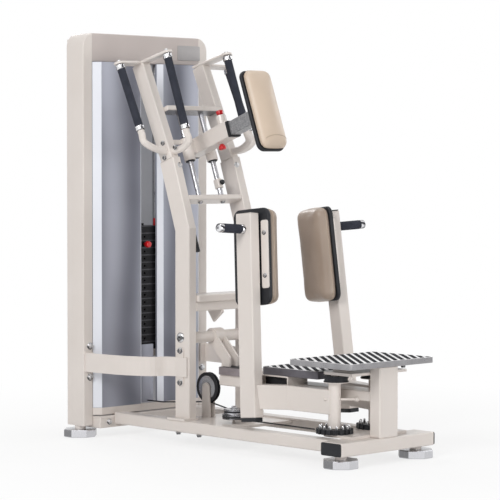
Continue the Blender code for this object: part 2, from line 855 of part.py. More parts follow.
def make_cross_box():
    width = 2 * (inner_side - gap)
    shelf_middle = shelf_bottom + shelf_height / 2
    shelf = box((width, shelf_depth, shelf_height), (0, -upright_y, shelf_middle), edge=0.003)
    gusset = [
        (-upright_y - shelf_depth / 2, shelf_bottom + 0.002),
        (-upright_y - shelf_depth / 2, shelf_bottom - 0.010),
        (-upright_y + 0.010, shelf_bottom - 0.050),
        (-upright_y + shelf_depth / 2, shelf_bottom - 0.010),
        (-upright_y + shelf_depth / 2, shelf_bottom + 0.002),
    ]
    shelf = weld(shelf, outline(gusset, 0.010, "YZ", (0, 0, 0)))
    lid_depth = shelf_depth + 2 * shelf_lid_overhang
    lid_z = shelf_bottom + shelf_height - 0.001 + shelf_lid / 2
    lid = box((width, lid_depth, shelf_lid), (0, -upright_y, lid_z), edge=0.004)
    adopt(weld(shelf, lid), "cross_box", machine, cream)


def make_spine():
    """The beam down the middle, and the two cheeks that hang its rear end from the cross tube."""
    length = post_back - spine_back - gap
    at_y = -spine_back - length / 2
    beam = box((spine_width, length, spine_height), (0, at_y, spine_bottom + spine_height / 2), edge=0.003)
    lid_z = spine_top - spine_lid / 2 - 0.001
    lid_length = tread_back + 0.080 - spine_back
    lid_at = (0, -spine_back - lid_length / 2, lid_z)
    beam = weld(beam, box((spine_width - 0.010, lid_length, spine_lid + 0.002), lid_at, edge=0.002))
    width = 2 * (inner_side - gap)
    y = -upright_y
    z = cross_tube_height
    cross = rod((-width / 2, y, z), (width / 2, y, z), cross_tube_radius, 20)
    hub = rod((-link_spread / 2, y, z), (link_spread / 2, y, z), cross_tube_radius + 0.010, 20)
    cross = weld(cross, hub)
    foot = (-spine_back - 0.008, (spine_bottom + spine_top) / 2)
    for sign in (-1, 1):
        cheek = ribbon([(y, z), (foot[0] - 0.004, z - 0.085), foot], link_width)
        cross = weld(cross, outline(cheek, link_wall, "YZ", (sign * (link_spread / 2 - link_wall / 2), 0, 0)))
    adopt(weld(beam, cross), "spine_beam", machine, cream)


# Platform
def make_platform():
    middle_y = -front_reach + platform_length / 2
    top_z = platform_top - platform_thickness / 2
    tray = box((platform_width, platform_length, platform_thickness), (0, middle_y, top_z), edge=0.003)
    pitch_x = platform_width / strip_count
    for i in range(strip_count - 1):
        x = (i - (strip_count - 2) / 2) * pitch_x
        channel = (pitch_x - strip_width, platform_length + 0.02, strip_depth)
        tray = cut(tray, box(channel, (x, middle_y, platform_top)))
    adopt(tray, "platform", machine, rubber)
    length = tread_front - tread_back
    at = (0, -(tread_front + tread_back) / 2, spine_top + gap + tread_thickness / 2)
    adopt(box((tread_width, length, tread_thickness), at, edge=0.004), "rear_tread", machine, rubber)


# Arm pivots
def bearing_plan():
    points = []
    back = -pivot_y
    points += arc((pivot_x, back), bearing_end, 0, 90)
    points += arc((-pivot_x, back), bearing_end, 90, 180)
    front = -post_back - 0.004
    points += [(-pivot_x - bearing_end, front), (pivot_x + bearing_end, front)]
    return points


def make_front_post():
    """The post, its upper and lower bearing plates, and a shaft between them for each arm."""
    length = post_top - crossbar_top - gap
    at = (0, post_depth / 2 - crossbar_front, crossbar_top + gap + length / 2)
    post = box((post_width, post_depth, length), at, edge=0.004)
    lower = outline(bearing_plan(), bearing_plate, "XY", (0, 0, lower_plate_bottom + bearing_plate / 2))
    upper = outline(bearing_plan(), bearing_plate, "XY", (0, 0, upper_bearing_bottom + bearing_plate / 2))
    for sign in (-1, 1):
        low = (sign * pivot_x, -pivot_y, lower_plate_bottom + bearing_plate / 2)
        top = (sign * pivot_x, -pivot_y, upper_bearing_bottom + bearing_plate / 2)
        lower = weld(lower, rod(low, top, shaft_radius, 16))
    adopt(weld(post, lower, upper), "front_post", machine, cream)


def notched_disc(radius, teeth, depth):
    points = []
    for i in range(teeth):
        for share, r in ((0.0, radius), (0.55, radius), (0.62, radius - depth), (0.93, radius - depth)):
            a = 2 * math.pi * (i + share) / teeth
            points.append((r * math.cos(a), r * math.sin(a)))
    return points


# Arms, built for the left side with the pivot at X = 0, Y = 0
post_foot = Vector((-arm_post_x, arm_post_y, arm_post_bottom))
post_head = Vector((arm_post_in - arm_post_x, arm_post_y + arm_post_back, arm_post_top))
post_way = (post_head - post_foot).normalized()
post_across = Vector((1, 0, 0))
post_across = (post_across - post_across.dot(post_way) * post_way).normalized()
post_third = post_way.cross(post_across)


def post_at(z):
    return post_foot + post_way * ((z - post_foot.z) / post_way.z)


def post_body(grow=0.0):
    return bar(post_foot - post_way * grow, post_head + post_way * grow, arm_post_width + 2 * grow,
               arm_post_depth + 2 * grow, edge=0.0 if grow else 0.003)


def make_arm_beam():
    middle = post_at(arm_bottom + arm_height / 2)
    bend = Vector((-0.002, arm_straight))
    end = Vector((middle.x, middle.y))
    end -= (end - bend).normalized() * 0.008
    path = [(0.0, 0.0), tuple(bend), tuple(end)]
    beam = outline(ribbon(path, arm_width), arm_height, "XY", (0, 0, arm_bottom + arm_height / 2), edge=0.002)
    sleeve = rod((0, 0, sleeve_bottom), (0, 0, sleeve_top), sleeve_radius, 20)
    beam = weld(beam, sleeve, make_cam())
    top = (0, 0, sleeve_top + cam_thickness + 0.01)
    bore = rod((0, 0, sleeve_bottom - 0.01), top, shaft_radius + running, 16)
    return cut(beam, bore, post_body(gap))


def make_arm_post():
    saddle_middle = post_at(leg_pad_height) + post_across * (arm_post_width + saddle_thickness) / 2
    half = post_way * saddle_length / 2
    saddle = bar(saddle_middle - half - post_across * 0.001, saddle_middle + half - post_across * 0.001,
                 saddle_thickness + 0.002, saddle_width)
    return weld(post_body(), saddle)


def make_disc():
    """The notched start-position disc at the foot of the sleeve."""
    disc = outline(notched_disc(disc_radius, disc_teeth, tooth_depth), disc_thickness, "XY",
                   (0, 0, disc_bottom + disc_thickness / 2))
    low = (0, 0, disc_bottom - 0.01)
    return cut(disc, rod(low, (0, 0, disc_bottom + disc_thickness + 0.01), shaft_radius + running, 16))


def make_cam():
    """The grooved cable cam at the head of the sleeve."""
    bottom = sleeve_top - 0.001
    cam = rod((cam_offset, 0, bottom), (cam_offset, 0, bottom + cam_thickness), cam_radius, 24)
    middle = bottom + cam_thickness / 2
    channel = ring(cam_radius + 0.01, cam_radius - groove, -0.006, 0.006, (cam_offset, 0, middle), steps=24)
    return cut(cam, channel)


def pad_stack(length, width, thickness, crown):
    """A pad's black base and its cushion, lying on Z = 0 with their length along Y."""
    shape = rounded(width, length, min(width, length) * 0.16)
    base = outline(shape, pad_base, "XY", (0, 0, pad_base / 2), edge=0.002)
    soft = cushion(length, width, thickness, crown)
    soft.data.transform(Matrix.Translation((0, 0, pad_base + gap)))
    return base, soft


def lay(obj, origin, x_axis, y_axis, z_axis):
    frame = Matrix((x_axis, y_axis, z_axis)).transposed().to_4x4()
    obj.data.transform(Matrix.Translation(origin) @ frame)
    return obj


def make_arms():
    seat = arm_post_width / 2 + saddle_thickness + gap
    pad_at = post_at(leg_pad_height) + post_across * seat + post_third * leg_pad_shift
    base, soft = pad_stack(leg_pad_length, leg_pad_width, leg_pad_thickness, 0.006)
    stub_start = post_at(stub_height) - post_across * (arm_post_width / 2 + gap)
    stub = rod(stub_start, stub_start - post_across * stub_length, stub_radius, 16)
    pieces = [
        (make_arm_beam(), "arm_beam_", cream),
        (make_arm_post(), "arm_post_", cream),
        (make_disc(), "arm_disc_", black),
        (lay(base, pad_at, post_third, post_way, post_across), "leg_pad_base_", black),
        (lay(soft, pad_at, post_third, post_way, post_across), "leg_cushion_", tan),
        (stub, "stub_handle_", black),
    ]
    for obj, name, finish in pieces:
        twin = mirrored(obj)
        adopt(obj, name + "left", left_arm, finish, built_in_place=False)
        adopt(twin, name + "right", right_arm, finish, built_in_place=False)


# Chest pad and its carriage
def make_rails():
    half = rail_length / 2
    width = 2 * (inner_side - gap)
    ends = []
    for sign in (-1, 1):
        middle = along_rail(0, sign * (half + rail_plate / 2), 0)
        ends.append(box((width, rail_plate_depth, rail_plate), middle, (-rail_lean, 0, 0), edge=0.003))
    low = -half - rail_plate - beyond
    hole = rod(
        along_rail(-strut_x, low, -strut_back), along_rail(-strut_x, beyond - half, -strut_back), strut_radius + 2 * running, 16
    )
    frame = cut(ends[0], hole)
    for sign in (-1, 1):
        x = sign * rail_spacing / 2
        frame = weld(frame, rod(along_rail(x, -half - 0.005, 0), along_rail(x, half + 0.005, 0), rail_radius, 16))
    adopt(weld(frame, ends[1]), "pad_rails", machine, chrome)


def make_carriage():
    """Two bosses on the rails, a bridge between them, and the box that the pad's tube slides in."""
    axis = carriage_offset
    low, high = axis - boss_drop - boss_length / 2, axis - boss_drop + boss_length / 2
    middle = axis + carriage_rise
    bridge = (rail_spacing, bridge_depth, bridge_height)
    made = box(bridge, along_rail(0, axis, 0), (-rail_lean, 0, 0), edge=0.003)
    for x in (-rail_spacing / 2, rail_spacing / 2):
        made = weld(made, rod(along_rail(x, low, 0), along_rail(x, high, 0), boss_radius, 20))
    back, front = -carriage_tube_back, carriage_tube_front
    sleeve = bar(
        along_rail(0, middle, back), along_rail(0, middle, front), carriage_tube_width, carriage_tube_height, edge=0.003
    )
    ear_end = strut_x + strut_ear / 2
    ear_at = along_rail(-(ear_end + rail_spacing / 2) / 2, high - sunk - strut_ear / 2, -strut_back)
    ear = box((ear_end - rail_spacing / 2, strut_ear, strut_ear), ear_at, (-rail_lean, 0, 0))
    made = weld(made, sleeve, ear)
    knobs = (
        ("arm_lock_knob", upper_knob_out, 1, upper_housing),
        ("rail_lock_knob", lower_knob_out, -1, lower_housing),
    )
    for _, out, sign, (radius, tall) in knobs:
        seat = carriage_tube_height / 2 + sign * carriage_rise
        foot = along_rail(0, axis + sign * (seat - sunk), out)
        head = along_rail(0, axis + sign * (seat + tall), out)
        made = weld(made, rod(foot, head, radius, 16))
    made = cut(
        made,
        bar(
            along_rail(0, axis, back - beyond),
            along_rail(0, axis, front + beyond),
            slide_tube_width + 2 * gap,
            slide_tube_height + 2 * gap,
        ),
    )
    for x in (-rail_spacing / 2, rail_spacing / 2):
        bore = rod(along_rail(x, low - beyond, 0), along_rail(x, high + beyond, 0), rail_radius + running, 16)
        made = cut(made, bore)
    for _, out, sign, (_, tall) in knobs:
        top = carriage_tube_height / 2 + sign * carriage_rise + tall + beyond
        inner = along_rail(0, axis + sign * slide_tube_height / 3, out)
        made = cut(made, rod(inner, along_rail(0, axis + sign * top, out), knob_stem + running, 12))
    adopt(made, "carriage", carriage_home, cream)
    for name, out, sign, (_, tall) in knobs:
        make_knob(name, out, sign, tall)


def make_knob(name, out, sign, housing_height):
    """A lock knob above (1) or below (-1) the sliding tube, with its plunger."""
    seat = carriage_tube_height / 2 + sign * carriage_rise + housing_height + gap
    low = along_rail(0, carriage_offset + sign * seat, out)
    high = along_rail(0, carriage_offset + sign * (seat + knob_height), out)
    inner = along_rail(0, carriage_offset + sign * (slide_tube_height / 2 + gap), out)
    knob = weld(rod(low, high, knob_radius, 16), rod(inner, low + rail_way * sign * sunk, knob_stem, 12))
    home = empty(name + "_slide", low, (-rail_lean, 0, 0), machine)
    bpy.context.view_layer.update()
    adopt(knob, name, home, red)


def make_strut():
    """A gas strut beside the left rail: its cylinder pinned to the upright, its rod under the carriage's ear."""
    low, high = -strut_low, strut_length - strut_low
    cylinder = rod(along_rail(-strut_x, low, -strut_back), along_rail(-strut_x, high, -strut_back), strut_radius, 16)
    hole_low = along_rail(-strut_x, low + strut_radius * 2, -strut_back)
    hole = rod(hole_low, along_rail(-strut_x, high + beyond, -strut_back), strut_rod_radius + running, 12)
    pin_at = along_rail(-strut_x, low + strut_radius, -strut_back)
    pin = rod(pin_at, (-inner_side + gap, pin_at.y, pin_at.z), strut_pin, 12)
    adopt(weld(cut(cylinder, hole), pin), "strut_cylinder", machine, black)
    top = carriage_offset - boss_drop + boss_length / 2 - sunk - strut_ear - gap
    rod_low = along_rail(-strut_x, top - strut_rod_length, -strut_back)
    slider = rod(rod_low, along_rail(-strut_x, top, -strut_back), strut_rod_radius, 12)
    adopt(slider, "strut_rod", carriage_home, chrome)


def make_chest_pad():
    centre = carriage_offset
    outer = bar(along_rail(0, centre, -carriage_tube_back + 0.01), along_rail(0, centre, chest_pad_reach - gap),
                slide_tube_width, slide_tube_height, edge=0.002)
    core = bar(along_rail(0, centre, -carriage_tube_back - 0.02), along_rail(0, centre, chest_pad_reach - 0.012),
               slide_tube_width - 2 * tube_wall, slide_tube_height - 2 * tube_wall)
    adopt(cut(outer, core), "pad_slide_tube", pad_home, chrome)
    base, soft = pad_stack(chest_pad_length, chest_pad_width, chest_pad_thickness, 0.005)
    origin = along_rail(0, centre + chest_pad_rise, chest_pad_reach)
    side = Vector((1, 0, 0))
    adopt(lay(base, origin, side, rail_way, pad_way), "chest_pad_base", pad_home, black)
    adopt(lay(soft, origin, side, rail_way, pad_way), "chest_cushion", pad_home, tan)


# Weight stack
def drilled_stack(bottom, thicknesses, pin_holes):
    """Plates as one body, parted by grooves all round, with holes for the stem, the guides and the pin."""
    total = sum(thicknesses) + plate_gap * (len(thicknesses) - 1)
    made = box((plate_width, plate_depth, total), (0, mid_depth, bottom + total / 2))
    low, high = bottom - 0.01, bottom + total + 0.01
    made = cut(made, rod((0, mid_depth, low), (0, mid_depth, high), stem_radius + 2 * running, 12))
    for sign in (-1, 1):
        x = sign * guide_spacing / 2
        made = cut(made, rod((x, mid_depth, low), (x, mid_depth, high), guide_radius + running, 16))
    z = bottom
    for i, thick in enumerate(thicknesses):
        if i < pin_holes:
            hole_z = z + plate_thickness / 2
            front = mid_depth - plate_depth
            made = cut(made, rod((0, front, hole_z), (0, mid_depth, hole_z), pin_radius + running, 8))
        z += thick
        if i < len(thicknesses) - 1:
            size = (plate_width + 0.02, plate_depth + 0.02, plate_groove)
            frame = box(size, (0, mid_depth, z + plate_gap / 2))
            inside = (plate_width - 2 * groove, plate_depth - 2 * groove, plate_groove + 0.01)
            made = cut(made, cut(frame, box(inside, (0, mid_depth, z + plate_gap / 2))))
        z += plate_gap
    return made


def make_stack():
    base_z = stack_bottom - gap - stack_base_height / 2
    base = box((2 * (inner_half - gap), plate_depth, stack_base_height), (0, mid_depth, base_z), edge=0.003)
    below = rod((0, mid_depth, base_z - 0.05), (0, mid_depth, base_z + 0.05), stem_radius + 2 * running, 12)
    base = cut(base, below)
    for sign in (-1, 1):
        x = sign * guide_spacing / 2
        base = weld(base, rod((x, mid_depth, base_z), (x, mid_depth, header_bottom - gap), guide_radius, 16))
    adopt(base, "stack_frame", machine, chrome)
    resting = plate_count - moving_plates
    low = drilled_stack(stack_bottom, [plate_thickness] * resting, resting)
    adopt(low, "resting_plates", machine, iron)
    lifted_bottom = stack_bottom + resting * pitch
    high = drilled_stack(lifted_bottom, [plate_thickness] * moving_plates + [head_plate_height], moving_plates)
    head_top = stack_bottom + plate_count * pitch + head_plate_height
    stem_low = stack_bottom + pitch * 0.2
    stem = rod((0, mid_depth, stem_low), (0, mid_depth, head_top + stem_stub), stem_radius, 12)
    collar = ring(stem_radius + 0.010, stem_radius - 0.001, head_top - 0.001, head_top + 0.010, (0, mid_depth, 0))
    high = weld(high, collar, stem)
    for i in range(resting + 1):
        z = stack_bottom + i * pitch + plate_thickness / 2
        high = cut(high, rod((0, -0.01, z), (0, mid_depth + stem_radius + 0.004, z), pin_radius + running, 8))
    adopt(high, "lifted_plates", weight, iron)
    front = mid_depth - plate_depth / 2
    shank = rod((0, front - 0.004, pin_z), (0, mid_depth + stem_radius, pin_z), pin_radius, 8)
    knob = rod((0, front - gap - pin_head_length, pin_z), (0, front - gap, pin_z), pin_head_radius, 16)
    adopt(weld(knob, shank), "selector_pin", pin_home, red)


# Pulleys and cables
def pulley(radius, bore=None):
    """A grooved wheel on the Z axis; with no bore given it runs on its pin."""
    bore = pulley_bore + running if bore is None else bore
    w = pulley_width / 2
    profile = [
        (radius, w),
        (radius, cable_radius + 0.0015),
        (radius - groove * 2, cable_radius + 0.0008),
        (radius - groove * 2, -cable_radius - 0.0008),
        (radius, -cable_radius - 0.0015),
        (radius, -w),
        (bore, -w),
        (bore, w),
    ]
    return turned(profile, steps=24)


def make_pulleys():
    sideways = (0, math.pi / 2, 0)
    for radius, name, home, turn in (
        (large_pulley_radius, "large_pulley", large_home, sideways),
        (low_pulley_radius, "low_pulley", low_home, (0, 0, 0)),
        (top_pulley_radius, "top_pulley", top_home, sideways),
    ):
        wheel = pulley(radius)
        wheel.data.transform(Euler(turn).to_matrix().to_4x4())
        adopt(wheel, name, home, black, built_in_place=False)


def make_cables():
    """The cable from the arms' cams, by the pulleys, up behind the stack and down to its stem."""
    low = wrap(low_pulley_radius)
    large = wrap(large_pulley_radius)
    small = wrap(top_pulley_radius)
    y0 = mid_depth + small
    start = (-pivot_x - 0.018, -pivot_y + disc_radius + 0.016, low_pulley_z)
    route = [start, (-low_pulley_x - low, -low_pulley_y - 0.06, low_pulley_z)]
    goal = Vector((0, -large_pulley_y - 0.105, large_pulley_z - large - 0.016))
    away = Vector((goal.x + low_pulley_x, goal.y + low_pulley_y))
    leave = math.degrees(math.atan2(away.y, away.x) + math.acos(low / away.length))
    for x, y in arc((-low_pulley_x, -low_pulley_y), low, 180, leave, 4):
        route.append((x, y, low_pulley_z))
    exit_at = Vector(route[-1])
    level = Vector((goal.x, goal.y, low_pulley_z))
    route.append(tuple(exit_at.lerp(level, 0.3)))
    route.append(tuple(goal))
    for y, z in arc((-large_pulley_y, large_pulley_z), large, -98, -84, 3):
        route.append((0, y, z))
    route.append((0, -0.10, floor_pulley_z - small + 0.002))
    for y, z in arc((y0, floor_pulley_z), small, -90, 0, 5):
        route.append((0, y, z))
    for y, z in arc((y0, top_pulley_z), small, 0, 180, 8):
        route.append((0, y, z))
    join_z = top_pulley_z - cable_join
    route.append((0, mid_depth, join_z))
    adopt(tube(route, cable_radius, 8), "drive_cable", machine, black)
    stem_top = stack_bottom + plate_count * pitch + head_plate_height + stem_stub
    drop = rod((0, mid_depth, stem_top + gap), (0, mid_depth, join_z - gap), cable_radius, 8)
    adopt(drop, "lift_cable", weight, black)


def settle():
    """Centre the model's box on the origin."""
    bpy.context.view_layer.update()
    corners = []
    for obj in parts.objects:
        if obj.type == "MESH":
            corners += [obj.matrix_world @ v.co for v in obj.data.vertices]
    for axis in range(2):
        values = [c[axis] for c in corners]
        machine.location[axis] = -(min(values) + max(values)) / 2
    bpy.context.view_layer.update()
    print("machine shift", tuple(round(v, 6) for v in machine.location))


make_tower()
make_rear_cover()
make_shields()
make_feet()
make_base()
make_mid_plate()
make_uprights()
make_handles()
make_guard_bars()
make_cross_box()
make_spine()
make_platform()
make_front_post()
make_arms()
make_rails()
make_carriage()
make_strut()
make_chest_pad()
make_stack()
make_pulleys()
make_cables()
settle()
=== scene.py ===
import math
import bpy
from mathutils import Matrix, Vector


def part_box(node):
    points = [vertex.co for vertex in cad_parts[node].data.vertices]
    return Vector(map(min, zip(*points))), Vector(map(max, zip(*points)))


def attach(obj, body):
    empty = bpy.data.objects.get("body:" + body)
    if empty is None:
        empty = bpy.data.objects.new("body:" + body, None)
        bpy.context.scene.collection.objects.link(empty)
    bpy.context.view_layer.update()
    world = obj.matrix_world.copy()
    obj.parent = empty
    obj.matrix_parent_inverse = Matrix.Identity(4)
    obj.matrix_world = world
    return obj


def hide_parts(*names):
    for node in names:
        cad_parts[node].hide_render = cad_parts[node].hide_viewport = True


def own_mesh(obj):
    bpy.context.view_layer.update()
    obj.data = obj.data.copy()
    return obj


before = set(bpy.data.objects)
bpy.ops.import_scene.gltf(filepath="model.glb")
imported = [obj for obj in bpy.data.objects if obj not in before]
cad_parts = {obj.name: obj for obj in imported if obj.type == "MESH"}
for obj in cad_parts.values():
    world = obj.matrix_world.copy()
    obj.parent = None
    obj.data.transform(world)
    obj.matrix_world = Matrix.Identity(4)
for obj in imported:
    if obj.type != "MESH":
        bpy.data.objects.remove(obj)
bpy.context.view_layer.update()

from types import SimpleNamespace

import bmesh
import bpy
import numpy as np
from mathutils import Matrix, Vector

print("scene: frame loaded")

# The machine's own frame: X 0 is its middle, Y 0 the tower's front face, both read from the header.
headerLow, headerHigh = (np.array(c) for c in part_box("tower_header"))
machineShift = np.array([(headerLow[0] + headerHigh[0]) / 2, headerLow[1], 0.0])
sides = (("left", -1), ("right", 1))
hair = 0.0003  # left free where one piece rests on another


def inFrame(points):
    # machine points moved into the record's frame
    return np.asarray(points, dtype=float) + machineShift


def machineBox(node):
    # a node's lowest and highest corners in the machine's frame
    return [np.array(c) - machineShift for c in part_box(node)]


def stitched(count, around, closed=False):
    # four-sided faces between the rows of a grid; closed also joins the last row to the first
    a = np.arange(around)
    b = (a + 1) % around
    faces = []
    for i in range(count if closed else count - 1):
        j = (i + 1) % count
        corners = [i * around + a, i * around + b, j * around + b, j * around + a]
        faces += np.stack(corners, 1).tolist()
    return faces


def loft(rows):
    # rows of a grid joined into a closed skin: row i runs round the piece, flat caps close both ends
    rows = np.asarray(rows)
    count, around = rows.shape[:2]
    caps = [list(range(around - 1, -1, -1)), list(range((count - 1) * around, count * around))]
    return rows.reshape(-1, 3), stitched(count, around) + caps


def loopLoft(rows):
    # rows joined one to the next and the last to the first, so that the skin closes like a ring
    rows = np.asarray(rows)
    return rows.reshape(-1, 3), stitched(*rows.shape[:2], closed=True)


def across(axis):
    # the unit axis and two unit vectors square to it
    axis = np.asarray(axis, dtype=float)
    axis = axis / np.linalg.norm(axis)
    helper = np.array([0.0, 0.0, 1.0]) if abs(axis[2]) < 0.9 else np.array([1.0, 0.0, 0.0])
    u = np.cross(helper, axis)
    u /= np.linalg.norm(u)
    return axis, u, np.cross(axis, u)


def circleOf(u, v, count):
    # cos t * u + sin t * v at equal angles t
    t = np.arange(count) * (2 * np.pi / count)
    return np.cos(t)[:, None] * u + np.sin(t)[:, None] * v


def latheRows(profile, at, axis, count):
    # point(i, t) = at + height_i * axis + radius_i * (cos t * u + sin t * v), for profile rows (radius, height)
    axis, u, v = across(axis)
    circle = circleOf(u, v, count)
    return np.array([np.asarray(at, dtype=float) + h * axis + r * circle for r, h in profile])


def lathe(profile, at, axis=(0, 0, 1), count=32):
    # a turned solid: the profile carried once round the axis, its two ends closed flat
    return loft(latheRows(profile, at, axis, count))


def tubeAlong(path, radius, count=16):
    # a circle carried along a path; each station turns the last one's axes just enough to stay square
    path = np.asarray(path, dtype=float)
    ways = np.gradient(path, axis=0)
    ways /= np.linalg.norm(ways, axis=1)[:, None]
    u = across(ways[0])[1]
    rows = []
    for p, w in zip(path, ways):
        u = u - np.dot(u, w) * w
        u /= np.linalg.norm(u)
        rows.append(p + radius * circleOf(u, np.cross(w, u), count))
    return loft(rows)


def roundRect(width, length, radius, inset=0.0, steps=6):
    # rounded rectangle: each corner is a quarter circle of the given radius; inset moves all of it inwards
    r = max(radius - inset, 1e-4)
    halfX, halfY = width / 2 - inset, length / 2 - inset
    quarter = np.linspace(0, np.pi / 2, steps + 1)
    out = []
    for sx, sy, start in ((1, 1, 0.0), (-1, 1, np.pi / 2), (-1, -1, np.pi), (1, -1, 1.5 * np.pi)):
        a = start + quarter
        out.append(np.stack([sx * (halfX - r) + r * np.cos(a), sy * (halfY - r) + r * np.sin(a)], 1))
    return np.concatenate(out)


def level(ring, height):
    # a flat ring's points at one height
    return np.column_stack([ring, np.full(len(ring), height)])


def slab(width, length, radius, thickness, fillet, place, steps=4, rounds=3):
    # a rounded rectangle carried up Z; its rims are quarter circles: inset f(1 - cos a), height f sin a
    fillet = min(fillet, thickness / 2 - 1e-5)
    a = np.linspace(np.pi / 2, 0, rounds + 1)
    insets = fillet * (1 - np.cos(a))
    heights = fillet * (1 - np.sin(a))
    stations = list(zip(insets, heights)) + list(zip(insets[::-1], thickness - heights[::-1]))
    rows = np.array([level(roundRect(width, length, radius, inset, steps), z) for inset, z in stations])
    return loft(moved(rows.reshape(-1, 3), place).reshape(rows.shape))


def moved(points, place):
    # each point p becomes R p + o, where a place holds the axes R and the origin o
    place = np.array(place)
    return points @ place[:3, :3].T + place[:3, 3]


def axesAt(origin, xAxis=(1, 0, 0), yAxis=(0, 1, 0), zAxis=(0, 0, 1)):
    # a place: a 4 by 4 matrix whose columns are its three axes and its origin
    place = np.identity(4)
    place[:3, 0], place[:3, 1], place[:3, 2], place[:3, 3] = xAxis, yAxis, zAxis, origin
    return place


def upright(origin):
    # a place whose Z points at the user, for plates that lie against a front face
    return axesAt(origin, (1, 0, 0), (0, 0, 1), (0, -1, 0))


def towards(at, zAxis, xAxis):
    # a place whose Z points along zAxis, its X as near to xAxis as can be
    z = across(zAxis)[0]
    u = np.asarray(xAxis, dtype=float) - np.dot(xAxis, z) * z
    u /= np.linalg.norm(u)
    return axesAt(at, u, np.cross(z, u), z)


def frameShell(place, outer, inner, thickness, radius):
    # a flat frame: the outer rounded rectangle and the opening joined row by row, front and back
    rims = ((outer, 0.0), (outer, thickness), (inner, thickness), (inner, 0.0))
    rows = np.array([level(roundRect(*size, radius if size == outer else radius * 0.5, 0.0, 4), z)
                     for size, z in rims])
    return loopLoft(moved(rows.reshape(-1, 3), place).reshape(rows.shape))


def ringShell(at, axis, outer, inner, height):
    # a flat ring with a softened outer rim
    soft = height * 0.3
    profile = [(inner, 0), (outer, 0), (outer, height - soft), (outer - soft, height), (inner, height)]
    return loopLoft(latheRows(profile, at, axis, 32))


def hexHead(at, axis, radius, height):
    # a hexagon bolt head with a chamfered top, standing on a round washer
    axis = np.asarray(axis, dtype=float) / np.linalg.norm(axis)
    thin, wide = radius * 0.2, radius * 1.35
    washer = [(wide * 0.9, -0.0005), (wide, 0), (wide, thin), (wide * 0.93, thin * 1.3)]
    head = [(radius, 0), (radius, height * 0.78), (radius * 0.9, height), (radius * 0.55, height * 1.02)]
    return [lathe(washer, at, axis, 20), lathe(head, np.asarray(at) + axis * thin, axis, 6)]


def domeHead(at, axis, radius, height):
    # a button head: radius r cos a, height h sin a, with a socket sunk in its top
    a = np.linspace(0, np.pi / 2.35, 7)
    profile = [(radius, -0.0005)] + [(radius * np.cos(k), height * np.sin(k)) for k in a]
    socket = radius * 0.34
    profile += [(socket, height), (socket * 0.95, height * 0.45), (socket * 0.3, height * 0.4)]
    return [lathe(profile, at, axis, 24)]


def clipped(shape, normal, limit):
    # the part of a flat polygon where p . normal <= limit
    out = []
    for a, b in zip(shape, np.roll(shape, -1, axis=0)):
        da, db = float(a @ normal) - limit, float(b @ normal) - limit
        if da <= 0:
            out.append(a)
        if da * db < 0:
            out.append(a + (b - a) * (da / (da - db)))
    return np.array(out)


def insetShape(shape, distance):
    # each corner of a convex outline moves in by d (n1 + n2) / (1 + n1 . n2), n1 and n2 its edges' inward normals
    way = np.roll(shape, -1, axis=0) - shape
    way /= np.linalg.norm(way, axis=1)[:, None]
    after = np.stack([-way[:, 1], way[:, 0]], 1)
    before = np.roll(after, 1, axis=0)
    return shape + distance * (after + before) / (1 + (after * before).sum(1))[:, None]


def rightNormals(mesh):
    # all faces turned outwards
    bm = bmesh.new()
    bm.from_mesh(mesh)
    bmesh.ops.recalc_face_normals(bm, faces=bm.faces)
    bm.to_mesh(mesh)
    bm.free()


def inScene(name, data):
    # an object for a mesh, lamp or camera, put into the scene
    obj = bpy.data.objects.new(name, data)
    bpy.context.scene.collection.objects.link(obj)
    return obj


def newObject(name, shells, smoothAngle=35):
    # shells in the machine's frame made one mesh in the record's frame
    points, faces, base = [], [], 0
    for p, f in shells:
        points.append(p)
        faces += [[base + k for k in face] for face in f]
        base += len(p)
    mesh = bpy.data.meshes.new(name)
    mesh.from_pydata(inFrame(np.concatenate(points)).tolist(), [], faces)
    rightNormals(mesh)
    mesh.shade_smooth()
    mesh.set_sharp_from_angle(angle=math.radians(smoothAngle))
    return inScene(name, mesh)


def settle(obj, finish, body, replaced=()):
    # a piece gets its finish, the body it rides on and the CAD nodes it stands for
    obj.data.materials.clear()
    obj.data.materials.append(finish)
    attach(obj, body)
    if replaced:
        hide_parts(*replaced)
    return obj


def piece(name, shells, finish, body="frame", replaced=()):
    # a whole piece of the machine in one call
    return settle(newObject(name, shells), finish, body, replaced)


# materials: t holds one material's nodes and links, its shader and its texture coordinates
recipes = {}


def surface(name):
    # a new material's nodes, ready to be filled in
    made = bpy.data.materials.new(name)
    made.use_nodes = True
    tree = made.node_tree
    where = tree.nodes.new("ShaderNodeTexCoord").outputs
    return SimpleNamespace(made=made, nodes=tree.nodes, links=tree.links, where=where,
                           shader=tree.nodes["Principled BSDF"], output=tree.nodes["Material Output"])


def fill(t, node, *ordered, **named):
    # inputs, by place or by name with _ for a space, get a value, or a link when it is another node's output
    sockets = list(zip(node.inputs, ordered)) + [(node.inputs[n.replace("_", " ")], v) for n, v in named.items()]
    for socket, value in sockets:
        if isinstance(value, bpy.types.NodeSocket):
            t.links.new(value, socket)
        else:
            socket.default_value = value


def add(t, kind, *ordered, **named):
    # a node whose own settings are the values named in lower case; its inputs get the others
    node = t.nodes.new("ShaderNode" + kind)
    for name in [n for n in named if n.islower()]:
        setattr(node, name, named.pop(name))
    fill(t, node, *ordered, **named)
    return node.outputs


def maths(t, operation, *values):
    # one step of arithmetic on numbers
    return add(t, "Math", *values, operation=operation)["Value"]


def dotted(t, vector, direction):
    # vector . direction
    return add(t, "VectorMath", vector, direction, operation="DOT_PRODUCT")["Value"]


def noise(t, scale, detail=3.0, stretch=(1, 1, 1)):
    # soft noise in the piece's own space, finer as the scale grows
    place = add(t, "Mapping", Vector=t.where["Object"], Scale=stretch)["Vector"]
    return add(t, "TexNoise", Vector=place, Scale=scale, Detail=detail)["Fac"]


